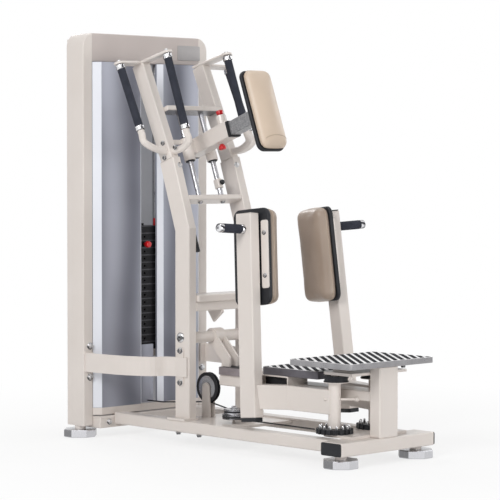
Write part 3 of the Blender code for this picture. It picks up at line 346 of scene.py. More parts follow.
def ranged(t, value, low, high, fromLow=0.3, fromHigh=0.7):
    # low + (high - low) (value - fromLow) / (fromHigh - fromLow), kept between low and high
    return add(t, "MapRange", Value=value, From_Min=fromLow, From_Max=fromHigh, To_Min=low, To_Max=high)["Result"]


def mixColour(t, factor, first, second):
    # first (1 - factor) + second factor, where either may be a plain colour
    first, second = ((*c, 1.0) if isinstance(c, tuple) else c for c in (first, second))
    return add(t, "Mix", data_type="RGBA", Factor=factor, A=first, B=second)["Result"]


def mixShaders(t, factor, first, second):
    # the surface shows the first shader where the factor is 0, the second where it is 1
    fill(t, t.output, Surface=add(t, "MixShader", factor, first, second)["Shader"])


def looks(t, tint, rough, height, strength, distance, **values):
    # colour, roughness, a bump and other values go to the shader
    normal = add(t, "Bump", Height=height, Strength=strength, Distance=distance)["Normal"]
    fill(t, t.shader, Base_Color=tint, Roughness=rough, Normal=normal, **values)


def material(name, recipe):
    # a material built by its recipe, which is kept so that twoFinishes can build it again
    t = surface(name)
    recipe(t)
    recipes[t.made.name] = recipe
    return t.made


def twoFinishes(name, first, second, maskOf):
    # the first finish where the mask is 0, the second where it is 1
    t = surface(name)
    t.nodes.remove(t.shader)
    shaders = []
    for finish in (first, second):
        t.shader = t.nodes.new("ShaderNodeBsdfPrincipled")
        recipes[finish.name](t)
        shaders.append(t.shader.outputs["BSDF"])
    mixShaders(t, maskOf(t), *shaders)
    return t.made


def past(by, direction, offset, width):
    # a mask that is 0 where by . direction is under offset, and 1 past it
    return lambda t: ranged(t, dotted(t, t.where[by], direction), 0, 1, offset - width, offset + width)


def above(height):
    # a mask that is 1 over a height
    return past("Object", (0, 0, 1), height, 0.0005)


def facing(way, least):
    # a mask that is 1 where normal . way is over the least
    return past("Normal", way, least, 0.05)


def finishOf(name, colour, shade, rough, spread=0.06, grain=(900, 0.12), cloud=6.0, metal=0.0, gloss=0.5, coat=0.0,
             **values):
    # two close tints clouded by wide noise, roughness spread by finer noise, and a fine grain as bump
    def recipe(t):
        tint = mixColour(t, ranged(t, noise(t, cloud, 4.0), 0, 1), colour, shade)
        roughness = ranged(t, noise(t, cloud * 9), rough - spread, rough + spread)
        looks(t, tint, roughness, noise(t, grain[0], 2.0), grain[1], 0.0004,
              Metallic=metal, Specular_IOR_Level=gloss, Coat_Weight=coat, Coat_Roughness=0.12, **values)
    return material(name, recipe)


def chromeOf(name, bright, dark, rough, reflectionBands, grain, spread=(0.6, 1.5)):
    # polished metal: 0.5 + 0.5 sin(k . normal) mixes two greys as a painted reflection of a room, and painted shade
    # darkens it at its rim
    def recipe(t):
        # painted reflection: light and dark bands set by the way the surface faces
        reflectionWave = maths(t, "SINE", dotted(t, t.where["Normal"], reflectionBands))
        tint = mixColour(t, ranged(t, reflectionWave, 0, 1, -0.25, 0.7), bright, dark)
        # painted shade: the colour goes over to the dark grey where the surface is seen edge-on
        rim = add(t, "LayerWeight", Blend=0.25)["Facing"]
        marks = ranged(t, noise(t, 240, 3.0, (1, 1, 0.2)), rough * spread[0], rough * spread[1])
        looks(t, mixColour(t, rim, tint, dark), marks, noise(t, 1200, 2.0), grain, 0.0003, Metallic=1.0)
    return material(name, recipe)


def leather(name, light, dark, gloss):
    # soft vinyl: pebbles from small cells, creases from wide noise, and a faint cloud of tone
    def recipe(t):
        tint = mixColour(t, ranged(t, noise(t, 7, 4.0), 0, 1), light, dark)
        pebble = add(t, "TexVoronoi", feature="DISTANCE_TO_EDGE", Vector=t.where["Object"], Scale=620)["Distance"]
        height = maths(t, "MULTIPLY_ADD", pebble, 0.6, noise(t, 60, 4.0))
        looks(t, tint, ranged(t, noise(t, 300, 2.0), 0.36, 0.50), height, 0.28, 0.0006,
              Coat_Weight=gloss, Coat_Roughness=0.30)
    return material(name, recipe)


def galvanisedSteel(t):
    # zinc spangle: cells of slightly different grey, each with its own roughness, over a fine pitted bump
    cells = add(t, "TexVoronoi", Vector=t.where["Object"], Scale=260)["Color"]
    grey = add(t, "SeparateColor", Color=cells)
    tint = mixColour(t, grey["Red"], (0.40, 0.40, 0.41), (0.23, 0.23, 0.24))
    looks(t, tint, ranged(t, grey["Green"], 0.30, 0.52, 0, 1), noise(t, 1400), 0.35, 0.0005, Metallic=0.8)


# the silver panel's painted reflection: its bands, a dark and a light silver, a cloud over them and a fade towards the
# floor
panel = {
    "reflectionBands": {"Scale": 1.35, "Distortion": 1.6, "Detail": 0.8, "Detail_Scale": 1.0, "Phase_Offset": 3.4},
    "dark": (0.185, 0.192, 0.235), "light": (0.58, 0.60, 0.69), "cloud": (2.6, 0.5),
    "lowShare": 0.62, "fall": (0.30, 1.25), "stretch": (1, 1, 0.1),
}


def panelSheet(t):
    # satin sheet: painted reflection bands 0.5 + 0.5 sin(k x + noise), clouded, mix two silvers and fade towards the
    # floor
    reflectionBands = add(t, "TexWave", bands_direction="X", Vector=t.where["Object"], **panel["reflectionBands"])["Fac"]
    cloud, least = panel["cloud"]
    soft = ranged(t, noise(t, cloud, 2.0, (1, 1, 0.5)), least, 1.0)
    height = add(t, "SeparateXYZ", Vector=t.where["Object"])["Z"]
    fall = ranged(t, height, panel["lowShare"], 1.0, *panel["fall"])
    share = maths(t, "MULTIPLY", maths(t, "MULTIPLY", reflectionBands, soft), fall)
    looks(t, mixColour(t, share, panel["dark"], panel["light"]),
          ranged(t, noise(t, 30, 3.0, panel["stretch"]), 0.30, 0.38),
          noise(t, 400, 2.0, panel["stretch"]), 0.006, 0.0004, Metallic=0.3)


paint = {"rough": 0.36, "spread": 0.05, "grain": (700, 0.10), "coat": 0.25}
steel = {"grain": (900, 0.1), "cloud": 20}
cream = finishOf("creamPaint", (0.745, 0.687, 0.644), (0.718, 0.658, 0.613), **paint)
# the header gets the cream paint made darker, as painted shade
shadedHeaderPaint = finishOf("shadedHeaderPaint", (0.600, 0.532, 0.505), (0.572, 0.506, 0.480), **paint)
paleFacet = finishOf("paleFacet", (0.80, 0.82, 0.88), (0.77, 0.79, 0.85), 0.30, 0.02, (400, 0.004), metal=0.1)
plaqueGrey = finishOf("plaqueGrey", (0.47, 0.45, 0.45), (0.40, 0.385, 0.385), 0.35, 0.06, (900, 0.05), 14, 0.15)
foam = finishOf("gripFoam", (0.040, 0.043, 0.058), (0.027, 0.030, 0.041), 0.80, 0.05, (1900, 0.45), 30, gloss=0.2)
blackPlastic = finishOf("blackPlastic", (0.018, 0.019, 0.023), (0.011, 0.012, 0.015), 0.50, 0.07, (1600, 0.2), 14,
                        gloss=0.3)
treadRubber = finishOf("treadRubber", (0.020, 0.021, 0.026), (0.013, 0.014, 0.017), 0.75, 0.08, (1500, 0.3), 20,
                       gloss=0.04)
plateIron = finishOf("plateIron", (0.014, 0.014, 0.016), (0.008, 0.008, 0.010), 0.45, 0.08, (900, 0.2), 18, 0.2, 0.25)
# a lighter grey for the plates' edges: a painted highlight line
edgeHighlight = finishOf("plateEdgeHighlight", (0.10, 0.10, 0.11), (0.06, 0.06, 0.066), 0.35, 0.06, (900, 0.1), 30, 0.5, 0.3)
# the tower's inside grey glows faintly: painted light in its shaded slot
towerInsideGlow = finishOf("towerInsideGlow", (0.70, 0.71, 0.75), (0.60, 0.61, 0.65), 0.45, grain=(700, 0.02),
                       Emission_Color=(0.8, 0.81, 0.85, 1), Emission_Strength=0.19)
trayTop = finishOf("trayTop", (0.92, 0.92, 0.93), (0.86, 0.86, 0.87), 0.40, **steel)
traySide = finishOf("traySide", (0.34, 0.335, 0.345), (0.26, 0.255, 0.265), 0.32, metal=0.35, **steel)
treadSide = finishOf("treadSide", (0.135, 0.128, 0.145), (0.095, 0.090, 0.102), 0.35, metal=0.4, **steel)
capGrey = finishOf("capGrey", (0.30, 0.262, 0.272), (0.235, 0.205, 0.213), 0.38, metal=0.2, **steel)
redPlastic = finishOf("redPlastic", (0.62, 0.012, 0.016), (0.52, 0.008, 0.012), 0.30, 0.05, (1500, 0.08), 25, coat=0.3)
cableBlack = finishOf("cableSheath", (0.018, 0.018, 0.020), (0.012, 0.012, 0.013), 0.38, 0.05, (2400, 0.2), 60)
seamTan = finishOf("seamTan", (0.50, 0.395, 0.295), (0.44, 0.345, 0.255), 0.48, 0.06, (1800, 0.3), 60)

silver = material("silverPanel", panelSheet)
# each metal's two greys and its band direction make its painted reflection
chrome = chromeOf("chrome", (0.86, 0.86, 0.88), (0.045, 0.045, 0.052), 0.10, (7.0, 5.0, 3.0), 0.03)
rodChrome = chromeOf("rodChrome", (0.42, 0.42, 0.44), (0.055, 0.055, 0.062), 0.34, (2.2, 1.6, 0.0), 0.0)
aluminium = chromeOf("castAluminium", (0.68, 0.68, 0.71), (0.24, 0.24, 0.25), 0.26, (4.0, 6.5, 5.0), 0.0, (0.92, 1.08))
zinc = chromeOf("zincBolt", (0.76, 0.76, 0.77), (0.13, 0.13, 0.135), 0.30, (4.0, 3.0, 6.0), 0.02)
galvanised = material("galvanisedSteel", galvanisedSteel)
tan = leather("tanVinyl", (0.655, 0.530, 0.418), (0.600, 0.480, 0.375), 0.12)
# the leg pads' vinyl is darker than the chest pad's tan; that darkness is painted shade
shadedLegTan = leather("shadedLegVinyl", (0.350, 0.272, 0.216), (0.305, 0.234, 0.184), 0.22)
facingUp = facing((0, 0, 1), 0.8)
print("scene: finishes made")

# the arms and the chest pad's rails, in the machine's frame
arms = {
    "pivotX": 0.108, "pivotY": -1.155, "rightTurn": 16.1, "postFoot": (-0.092, 0.338, 0.139),
    "postHead": (-0.044, 0.414, 0.900), "postWidth": 0.045, "postDepth": 0.080, "saddle": 0.008,
}
rails = {"lean": 20.0, "y": -0.3185, "z": 1.120, "length": 0.351, "spacing": 0.120, "radius": 0.010}

postFoot, postHead = np.array(arms["postFoot"]), np.array(arms["postHead"])
postWay = (postHead - postFoot) / np.linalg.norm(postHead - postFoot)
postAcross = np.array([1.0, 0, 0]) - postWay[0] * postWay
postAcross /= np.linalg.norm(postAcross)
postThird = np.cross(postWay, postAcross)
railLean = math.radians(rails["lean"])
railWay = np.array([0, math.sin(railLean), math.cos(railLean)])
railOut = np.array([0, -math.cos(railLean), math.sin(railLean)])
railSide = np.array([1.0, 0, 0])
railX = rails["spacing"] / 2


def postAt(z):
    # the point of the post's slanting middle line at height z
    return postFoot + postWay * ((z - postFoot[2]) / postWay[2])


def onRail(x, along, out):
    # a point from the rails' middle: along them, and out towards the user
    return np.array([x, rails["y"], rails["z"]]) + along * railWay + out * railOut


def armPlace(side):
    # a left arm's own frame on each side: the right one is mirrored and turned outwards
    if side == "left":
        return np.array(Matrix.Translation((-arms["pivotX"], arms["pivotY"], 0)))
    turn = Matrix.Rotation(math.radians(-arms["rightTurn"]), 4, "Z")
    place = Matrix.Translation((arms["pivotX"], arms["pivotY"], 0)) @ turn @ Matrix.Scale(-1, 4, (1, 0, 0))
    return np.array(place)


def armPieces(name, shells, finish, nodes=""):
    # the same shells on both arms, in place of the CAD nodes called nodes_left and nodes_right
    for side, _ in sides:
        place = armPlace(side)
        replaced = (nodes + "_" + side,) if nodes else ()
        piece(name + "." + side, [(moved(points, place), faces) for points, faces in shells], finish,
              side + "_arm", replaced)


view = {"at": (-5.7877, -6.5442, 1.1124), "turn": (87.5207, -0.0509, -44.2390), "lens": 155.051, "sensor": 36.0}
studio = {
    "world": 0.34,
    # name: (place, aim, width, power)
    "lamps": {
        "keyLamp": ((-5.0, -1.8, 3.3), (0, 0.0, 0.8), 2.4, 160),
        "frontLamp": ((0.2, -3.7, 0.8), (0, -0.7, 0.3), 1.4, 25),
        "topLamp": ((0.4, 0.2, 4.6), (0, 0, 0.6), 2.4, 40),
        "sideLamp": ((4.8, -0.6, 2.4), (0, 0, 0.8), 2.0, 34),
        "rearLamp": ((1.5, 4.8, 2.8), (0, 0.3, 0.9), 2.2, 70),
    },
    "floor": (0.93, 0.93, 0.93), "floorLow": 0.985, "floorSize": 30.0, "floorDrop": 0.0008,
    "fade": (0.9, 2.4), "glow": 0.76,
}


def makeCamera():
    # a long lens at the photograph's viewing angle
    data = bpy.data.cameras.new("camera")
    data.lens, data.sensor_width, data.clip_end = view["lens"], view["sensor"], 100
    bpy.context.scene.camera = obj = inScene("camera", data)
    obj.location = inFrame(view["at"])
    obj.rotation_euler = [math.radians(a) for a in view["turn"]]


def whiteSeen(t):
    # 1 for camera, mirror and glass rays, 0 for the rays that light the object
    rays = t.nodes.new("ShaderNodeLightPath").outputs
    seen = maths(t, "MAXIMUM", rays["Is Camera Ray"], rays["Is Glossy Ray"])
    return maths(t, "MAXIMUM", seen, rays["Is Transmission Ray"])


def makeLight():
    # a plain world that shows white, and five soft lamps aimed at the machine
    world = bpy.data.worlds.new("studio")
    bpy.context.scene.world = world
    world.use_nodes = True
    nodes = world.node_tree.nodes
    t = SimpleNamespace(nodes=nodes, links=world.node_tree.links, output=nodes["World Output"])
    shades = nodes["Background"], nodes.new("ShaderNodeBackground")
    for shade, strength in zip(shades, (studio["world"], 1.0)):
        fill(t, shade, Color=(1, 1, 1, 1), Strength=strength)
    mixShaders(t, whiteSeen(t), *(shade.outputs["Background"] for shade in shades))
    for name, (at, aim, width, power) in studio["lamps"].items():
        data = bpy.data.lights.new(name, "AREA")
        data.shape, data.size, data.energy = "DISK", width, power
        obj = inScene(name, data)
        obj.location = at
        obj.rotation_euler = (Vector(aim) - Vector(at)).to_track_quat("-Z", "Y").to_euler()
    bpy.context.scene.view_settings.view_transform = "Standard"


def makeFloor():
    # a pale sheet whose colour goes over to plain white with distance from the machine
    size = studio["floorSize"]
    mesh = bpy.data.meshes.new("floor")
    mesh.from_pydata([(-size, -size, 0), (size, -size, 0), (size, size, 0), (-size, size, 0)], [], [(0, 1, 2, 3)])
    floor = inScene("floor", mesh)
    floor.location = (0, 0, -studio["floorDrop"])
    t = surface("paleFloor")
    low = tuple(c * studio["floorLow"] for c in studio["floor"])
    tint = mixColour(t, ranged(t, noise(t, 1.5), 0, 1), studio["floor"], low)
    fill(t, t.shader, Base_Color=tint, Roughness=0.9, Specular_IOR_Level=0.1)
    length = add(t, "VectorMath", t.where["Object"], operation="LENGTH")["Value"]
    fade = ranged(t, length, studio["glow"], 1.0, *studio["fade"])
    glow = add(t, "Emission", Strength=1.0)["Emission"]
    mixShaders(t, maths(t, "MULTIPLY", fade, whiteSeen(t)), t.shader.outputs["BSDF"], glow)
    mesh.materials.append(t.made)


makeCamera()
makeLight()
makeFloor()
print("scene: camera, light and floor made")

# finishes of the CAD nodes that stay
stack = {"first": 0.330, "pitch": 0.0295, "edge": 0.11}
railEnd = rails["length"] / 2 + 0.0004


def plateEdgeHighlights(t):
    # 1 near each plate's edges, where a lighter grey is painted as a highlight line: |fract((z - first) / pitch) - 0.5|
    # near 0.5
    height = maths(t, "SUBTRACT", add(t, "SeparateXYZ", Vector=t.where["Object"])["Z"], stack["first"])
    share = maths(t, "FRACT", maths(t, "DIVIDE", height, stack["pitch"]))
    value = maths(t, "ABSOLUTE", maths(t, "SUBTRACT", share, 0.5))
    return ranged(t, value, 0, 1, 0.5 - stack["edge"], 0.5 - stack["edge"] / 2)


def railEnds(t):
    # 1 where |position . railWay - middle| is past the rods' half length
    middle = float(np.dot(inFrame(onRail(0, 0, 0)), railWay))
    value = maths(t, "SUBTRACT", dotted(t, t.where["Object"], tuple(railWay)), middle)
    return ranged(t, maths(t, "ABSOLUTE", value), 0, 1, railEnd - 0.0005, railEnd + 0.0005)


bothSides = ("arm_post", "base_beam", "guard_bar", "handle_frame", "upright")
dressed = (
    (cream, ["front_crossbar", "front_post", "mid_plate", "spine_beam", "tower_foot_rails", "cross_box", "carriage"]),
    (cream, [name + "_" + side for name in bothSides for side, _ in sides]),
    (shadedHeaderPaint, ["tower_header"]),
    (twoFinishes("armWithBlackCam", cream, blackPlastic, above(0.2925)), ["arm_beam_left", "arm_beam_right"]),
    (twoFinishes("railsAndPlates", rodChrome, cream, railEnds), ["pad_rails"]),
    (twoFinishes("stackStand", cream, rodChrome, above(0.3305)), ["stack_frame"]),
    (silver, ["shield_left", "shield_right"]),
    (twoFinishes("footWithNeck", aluminium, cream, above(0.0305)),
     ["tower_foot_left", "tower_foot_right", "front_foot_left", "front_foot_right"]),
    (galvanised, ["pad_slide_tube"]),
    (chrome, ["strut_rod"]),
    (blackPlastic, ["arm_disc_left", "arm_disc_right", "large_pulley", "low_pulley", "top_pulley", "strut_cylinder"]),
    (cableBlack, ["drive_cable", "lift_cable"]),
    (twoFinishes("stackPlates", plateIron, edgeHighlight, plateEdgeHighlights), ["resting_plates", "lifted_plates"]),
    (twoFinishes("coverInsideOut", towerInsideGlow, cream, facing((0, 1, 0), -0.5)), ["rear_cover"]),
)
for finish, nodes in dressed:
    for node in nodes:
        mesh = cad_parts[node].data
        mesh.materials.clear()
        mesh.materials.append(finish)
print("scene: frame dressed")


def rodAxis(node, way, radius):
    # a round rod's start, way and length from its box: half extent = length / 2 * |d| + radius * sqrt(1 - d * d)
    low, high = machineBox(node)
    way = np.array(way, dtype=float)
    way /= np.linalg.norm(way)
    main = int(np.argmax(np.abs(way)))
    half = (high - low)[main] / 2
    length = 2 * (half - radius * math.sqrt(1 - way[main] ** 2)) / abs(way[main])
    return (low + high) / 2 - way * length / 2, way, length


grip = {
    "lean": {"front": 20.2, "outer": 25.4}, "radius": 0.016, "collar": 0.0185, "collarLength": 0.019,
    "end": 0.003, "rings": 40, "ringDepth": 0.00035, "bolt": (0.0085, 0.011), "boltRise": 0.0075,
}


def ribbed(look, low, high):
    # rows of a foam sleeve: radius R - d (0.5 - 0.5 cos(2 pi n s)) from low to high
    s = np.linspace(0, 1, look["rings"] * 4 + 1)
    body = look["radius"] - look["ringDepth"] * (0.5 - 0.5 * np.cos(2 * np.pi * look["rings"] * s))
    return list(zip(body, low + s * (high - low)))


def gripShells(start, way, length):
    # a ribbed sleeve with its ends rounded off
    r, lap, end = grip["radius"], grip["collarLength"], grip["end"]
    low, high = lap - 0.002, length - lap + 0.002
    profile = [(r - end, low), (r - end * 0.3, low + end * 0.3)] + ribbed(grip, low + end, high - end)
    return [lathe(profile + [(r - end * 0.3, high - end * 0.3), (r - end, high)], start, way)]


def collarShells(start, way, length):
    # a chrome ring at each end of a grip, with a rolled lip: rows of (share of radius, share of height)
    shape = ((0.86, 0), (1, 0.12), (1, 0.40), (0.93, 0.46), (0.93, 0.82), (0.97, 0.9), (0.86, 1))
    c, lap = grip["collar"], grip["collarLength"]
    return [lathe([(c * r, low + (high - low) * h) for r, h in shape], start, way)
            for low, high in ((hair, lap), (length - lap, length - hair))]


def makeGrips():
    # four foam grips on the handles, each with its chrome rings and an end bolt
    for kind, lean in grip["lean"].items():
        a = math.radians(lean)
        for side, _ in sides:
            node = kind + "_grip_" + side
            start, way, length = rodAxis(node, (0, math.sin(a), math.cos(a)), grip["radius"])
            piece(kind + "Grip." + side, gripShells(start, way, length), foam, replaced=(node,))
            piece(kind + "GripRings." + side, collarShells(start, way, length), chrome)
            top = start + way * (length + grip["boltRise"])
            piece(kind + "GripBolt." + side, hexHead(top, way, *grip["bolt"]), zinc)


stub = {"radius": 0.0175, "length": 0.128, "height": 0.840, "tip": 0.022, "rings": 20, "ringDepth": 0.0004}


def makeStubs():
    # the two hand stubs on the arm posts: a foam sleeve between a chrome ring and a chrome tip
    start = postAt(stub["height"]) - postAcross * (arms["postWidth"] / 2 + hair)
    r, length = stub["radius"], stub["length"]
    end = length - stub["tip"]
    sleeve = [(r - 0.004, 0.014), (r - 0.001, 0.0155)] + ribbed(stub, 0.018, end - 0.003)
    sleeve += [(r - 0.001, end - 0.001), (r - 0.004, end)]
    ring = [(r * 0.85, 0.0), (r * 1.02, 0.0015), (r * 1.02, 0.010), (r * 0.9, 0.0135)]
    cap = [(r * 0.80, end + 0.0004), (r * 0.97, end + 0.002), (r * 0.97, length - 0.006),
           (r * 0.88, length - 0.002), (r * 0.62, length), (r * 0.30, length + 0.0002),
           (r * 0.28, length - 0.004), (r * 0.1, length - 0.0045)]
    armPieces("stubSleeve", [lathe(sleeve, start, -postAcross)], foam, "stub_handle")
    armPieces("stubChrome", [lathe(ring, start, -postAcross), lathe(cap, start, -postAcross)], chrome)


knob = {"radius": 0.015, "height": 0.022, "lobes": 8, "lobeDepth": 0.05, "stem": 0.005}
# name: (CAD node, way along the rails, distance out, its seat along the rails)
locks = {"armLockKnob": ("arm_lock_knob", 1, 0.162, 0.1023), "railLockKnob": ("rail_lock_knob", -1, 0.130, -0.0043)}
slideTube = {"along": 0.030, "half": 0.0275, "reach": 0.026}


def knobShell(at, axis):
    # a fluted knob: radius R (1 - d (0.5 - 0.5 cos n t)) on its skirt, its crown a quarter ellipse, on a short neck
    z, u, v = across(axis)
    r, h = knob["radius"], knob["height"]
    circle = circleOf(u, v, 64)
    t = np.arange(64) * (2 * np.pi / 64)
    flute = 1 - knob["lobeDepth"] * (0.5 - 0.5 * np.cos(knob["lobes"] * t))
    shoulder = h * 0.80
    profile = [(r * 0.55, 0.0003, 0), (r * 0.58, 0.004, 0), (r * 0.86, 0.006, 0.6), (r * 0.92, 0.009, 1)]
    profile.append((r, shoulder, 1))
    profile += [(r * (0.35 + 0.65 * np.cos(k)), shoulder + (h - shoulder) * np.sin(k), 1 - k / 1.6)
                for k in np.linspace(0, np.pi / 2.15, 8)[1:]]
    return loft([np.asarray(at) + height * z + (radius * (1 - deep + deep * flute))[:, None] * circle
                 for radius, height, deep in profile])


def makeKnobs():
    # a lock knob over the slide tube and one under it, each on its stem
    for name, (node, sign, out, seat) in locks.items():
        stem = onRail(0, slideTube["along"] + sign * slideTube["half"], out)
        length = abs(seat - slideTube["along"]) - slideTube["reach"]
        r = knob["stem"]
        shells = [knobShell(onRail(0, seat, out), railWay * sign),
                  lathe([(r * 0.8, 0), (r, 0.001), (r, length)], stem, railWay * sign, 20)]
        piece(name, shells, redPlastic, node, (node,))


makeGrips()
makeStubs()
makeKnobs()
print("scene: grips, stubs and knobs made")

pads = {
    "leg": {"length": 0.365, "width": 0.190, "thickness": 0.052, "crown": 0.008, "corner": 0.032,
            "fillet": 0.019, "shoulder": 0.023, "height": 0.738, "shift": 0.014},
    "chest": {"length": 0.325, "width": 0.140, "thickness": 0.040, "crown": 0.0105, "corner": 0.030,
              "fillet": 0.028, "shoulder": 0.036, "reach": 0.374, "rise": 0.038},
    "base": 0.016, "grow": 0.0035, "voxel": 0.005, "pressure": 3.0, "stiffness": 30, "frames": 20, "calm": 26,
    "held": 0.004, "flat": 0.0015,  # the heights under which points stay put, and lie down on the base
}
seams = {"radius": 0.0013, "rim": 0.30, "arch": (0.036, 0.012)}


def padForm(size, shrink):
    # rounded rectangle rows: up a side drawn in at the seat, round a quarter-ellipse shoulder, then a low crown
    w, l, t = size["width"] - 2 * shrink, size["length"] - 2 * shrink, size["thickness"] - shrink
    f, wide = size["fillet"], size["shoulder"]
    wall = t - f
    rows = [(0.0035, 0.0), (0.0015, wall * 0.09), (0.0, wall * 0.37), (0.0, wall * 0.67)]
    a = np.linspace(0, np.pi / 2, 9)
    rows += list(zip(wide * (1 - np.cos(a)), wall + f * np.sin(a)))
    out = [level(roundRect(w, l, size["corner"], inset, 8), z) for inset, z in rows]
    for s in (0.85, 0.7, 0.5, 0.3, 0.1):
        out.append(level(out[len(rows) - 1][:, :2] * s, t + size["crown"] * (1 - s * s)))
    return loft(out)


def corners(mesh):
    # a mesh's points as rows of x, y and z
    flat = np.empty(len(mesh.vertices) * 3)
    mesh.vertices.foreach_get("co", flat)
    return flat.reshape(-1, 3)


def bake(obj):
    # modifiers applied, and nothing live left
    bpy.context.view_layer.update()
    graph = bpy.context.evaluated_depsgraph_get()
    mesh = bpy.data.meshes.new_from_object(obj.evaluated_get(graph), preserve_all_data_layers=True, depsgraph=graph)
    obj.modifiers.clear()
    old, obj.data = obj.data, mesh
    bpy.data.meshes.remove(old)


def inflate(obj):
    # remesh, blow up as cloth for a few frames, hold each point near its start, smooth and subdivide
    grid = obj.modifiers.new("Remesh", "REMESH")
    grid.mode, grid.voxel_size, grid.use_smooth_shade = "VOXEL", pads["voxel"], True
    bake(obj)
    start = corners(obj.data)
    seat = obj.vertex_groups.new(name="seat")
    seat.add([int(i) for i in np.nonzero(start[:, 2] < pads["held"])[0]], 1.0, "REPLACE")
    cloth = obj.modifiers.new("Cloth", "CLOTH")
    cloth.settings.use_pressure = True
    cloth.settings.uniform_pressure_force = pads["pressure"]
    cloth.settings.effector_weights.gravity = 0
    cloth.settings.vertex_group_mass = "seat"
    cloth.settings.tension_stiffness = cloth.settings.compression_stiffness = pads["stiffness"]
    cloth.point_cache.frame_start, cloth.point_cache.frame_end = 1, pads["frames"]
    for number in range(1, pads["frames"] + 1):
        bpy.context.scene.frame_set(number)
    bake(obj)
    step = corners(obj.data) - start
    far = np.linalg.norm(step, axis=1)
    step *= np.minimum(1.0, pads["grow"] / np.maximum(far, 1e-9))[:, None]
    obj.data.vertices.foreach_set("co", (start + step).ravel())
    obj.vertex_groups.clear()
    bpy.context.scene.frame_set(1)
    calm = obj.modifiers.new("Smooth", "SMOOTH")
    calm.factor, calm.iterations = 0.5, pads["calm"]
    finer = obj.modifiers.new("Subdivision", "SUBSURF")
    finer.levels = finer.render_levels = 1
    bake(obj)


def snapped(obj, points):
    # the nearest points of a pad's skin to a seam's path
    bpy.context.view_layer.update()
    hits = [obj.closest_point_on_mesh(Vector(p)) for p in points]
    return np.array([at + normal * 0.0002 for _, at, normal, _ in hits])


def rimSeam(size):
    # a closed run round the pad's side at a share of its thickness, its ends lapped
    ring = roundRect(size["width"], size["length"], size["corner"], 0.0, 10)
    ring = np.concatenate([ring, ring[:2]])
    dense = np.concatenate([np.linspace(a, b, 4, endpoint=False) for a, b in zip(ring, ring[1:])])
    return level(dense, size["thickness"] * seams["rim"])


def archSeam(size):
    # a seam across the pad's face near its lower end: y = start + rise (1 - (2x / width)^2)
    start, rise = seams["arch"]
    x = np.linspace(-0.5, 0.5, 41) * size["width"] * 0.99
    y = -size["length"] / 2 + start + rise * (1 - (2 * x / size["width"]) ** 2)
    return level(np.column_stack([x, y]), size["thickness"] * 1.2)


def softPad(name, size, place, body, nodes, paths, skin):
    # a moulded base, and a stuffed pad formed and blown up lying on Z = 0, sewn, then laid on it
    baseName, baseNode, node = nodes
    base = slab(size["width"], size["length"], size["corner"], pads["base"], 0.005, place, 8, 4)
    piece(baseName, [base], blackPlastic, body, (baseNode,))
    lift = np.identity(4)
    lift[2, 3] = pads["base"] + hair
    place = place @ lift
    obj = newObject(name, [padForm(size, pads["grow"] * 0.8)], 80)
    obj.data.transform(Matrix.Translation(-Vector(machineShift)))
    inflate(obj)
    flat = corners(obj.data)
    flat[flat[:, 2] < pads["flat"], 2] = 0.0
    obj.data.vertices.foreach_set("co", flat.ravel())
    sewn = [tubeAlong(snapped(obj, path), seams["radius"], 8) for path in paths]
    obj.data.transform(Matrix(place.tolist()))
    obj.data.transform(Matrix.Translation(Vector(machineShift)))
    obj.data.shade_smooth()
    rightNormals(obj.data)
    settle(obj, skin, body, (node,))
    piece(name + "Seams", [(moved(points, place), faces) for points, faces in sewn], seamTan, body)


def makePads():
    # a pad on each arm's post and one at the chest
    leg, chest = pads["leg"], pads["chest"]
    seat = arms["postWidth"] / 2 + arms["saddle"] + hair
    legAt = postAt(leg["height"]) + postAcross * seat + postThird * leg["shift"]
    legPlace = axesAt(legAt, postThird, postWay, postAcross)
    for side, _ in sides:
        nodes = ("legPadBase." + side, "leg_pad_base_" + side, "leg_cushion_" + side)
        softPad("legCushion." + side, leg, armPlace(side) @ legPlace, side + "_arm", nodes, [rimSeam(leg)], shadedLegTan)
    chestPlace = axesAt(onRail(0, chest["rise"], chest["reach"]), railSide, railWay, railOut)
    softPad("chestCushion", chest, chestPlace, "pad_arm", ("chestPadBase", "chest_pad_base", "chest_cushion"),
            [rimSeam(chest), archSeam(chest)], tan)


makePads()
print("scene: pads made")

platform = {"top": 0.376, "width": 0.449, "length": 0.305, "thickness": 0.022, "front": -1.342, "corner": 0.008}
tread = {"top": 0.3253, "width": 0.240, "length": 0.290, "thickness": 0.030, "front": -1.080, "corner": 0.010}
bars = {"way": 51.0, "pitch": 0.028, "width": 0.0175, "depth": 0.003, "bevel": 0.0008, "margin": 0.005, "proud": 0.0004}
treadBeam = {"far": -0.925, "near": -0.772, "low": 0.250, "x0": -0.118, "x1": -0.031, "wall": 0.005, "deep": 0.030}
spineCap = {"width": 0.103, "length": 0.120, "low": 0.266, "tall": 0.0305, "back": -0.4785}


def slantingBars(width, length, middle, top):
    # rubber bars at an angle: each is the tread's rectangle cut to |p . n - c| <= w / 2, its upper rim bevelled
    a = math.radians(bars["way"])
    normal = np.array([math.sin(a), -math.cos(a)])
    half = np.array([width / 2 - bars["margin"], length / 2 - bars["margin"]])
    reach = float(np.abs(normal) @ half)
    shells = []
    for c in np.arange(-reach + bars["width"] * 0.6, reach - bars["width"] * 0.4, bars["pitch"]):
        rows = []
        for inset, drop in ((0, bars["depth"]), (0, bars["bevel"]), (bars["bevel"], 0)):
            hx, hy = half - inset
            w = bars["width"] / 2 - inset
            shape = np.array([(-hx, -hy), (hx, -hy), (hx, hy), (-hx, hy)])
            rows.append(level(clipped(clipped(shape, normal, c + w), -normal, w - c), top - drop))
        if len(rows[0]) >= 3 and len({len(r) for r in rows}) == 1:
            shells.append(loft(np.array(rows) + [0, middle, 0]))
    return shells


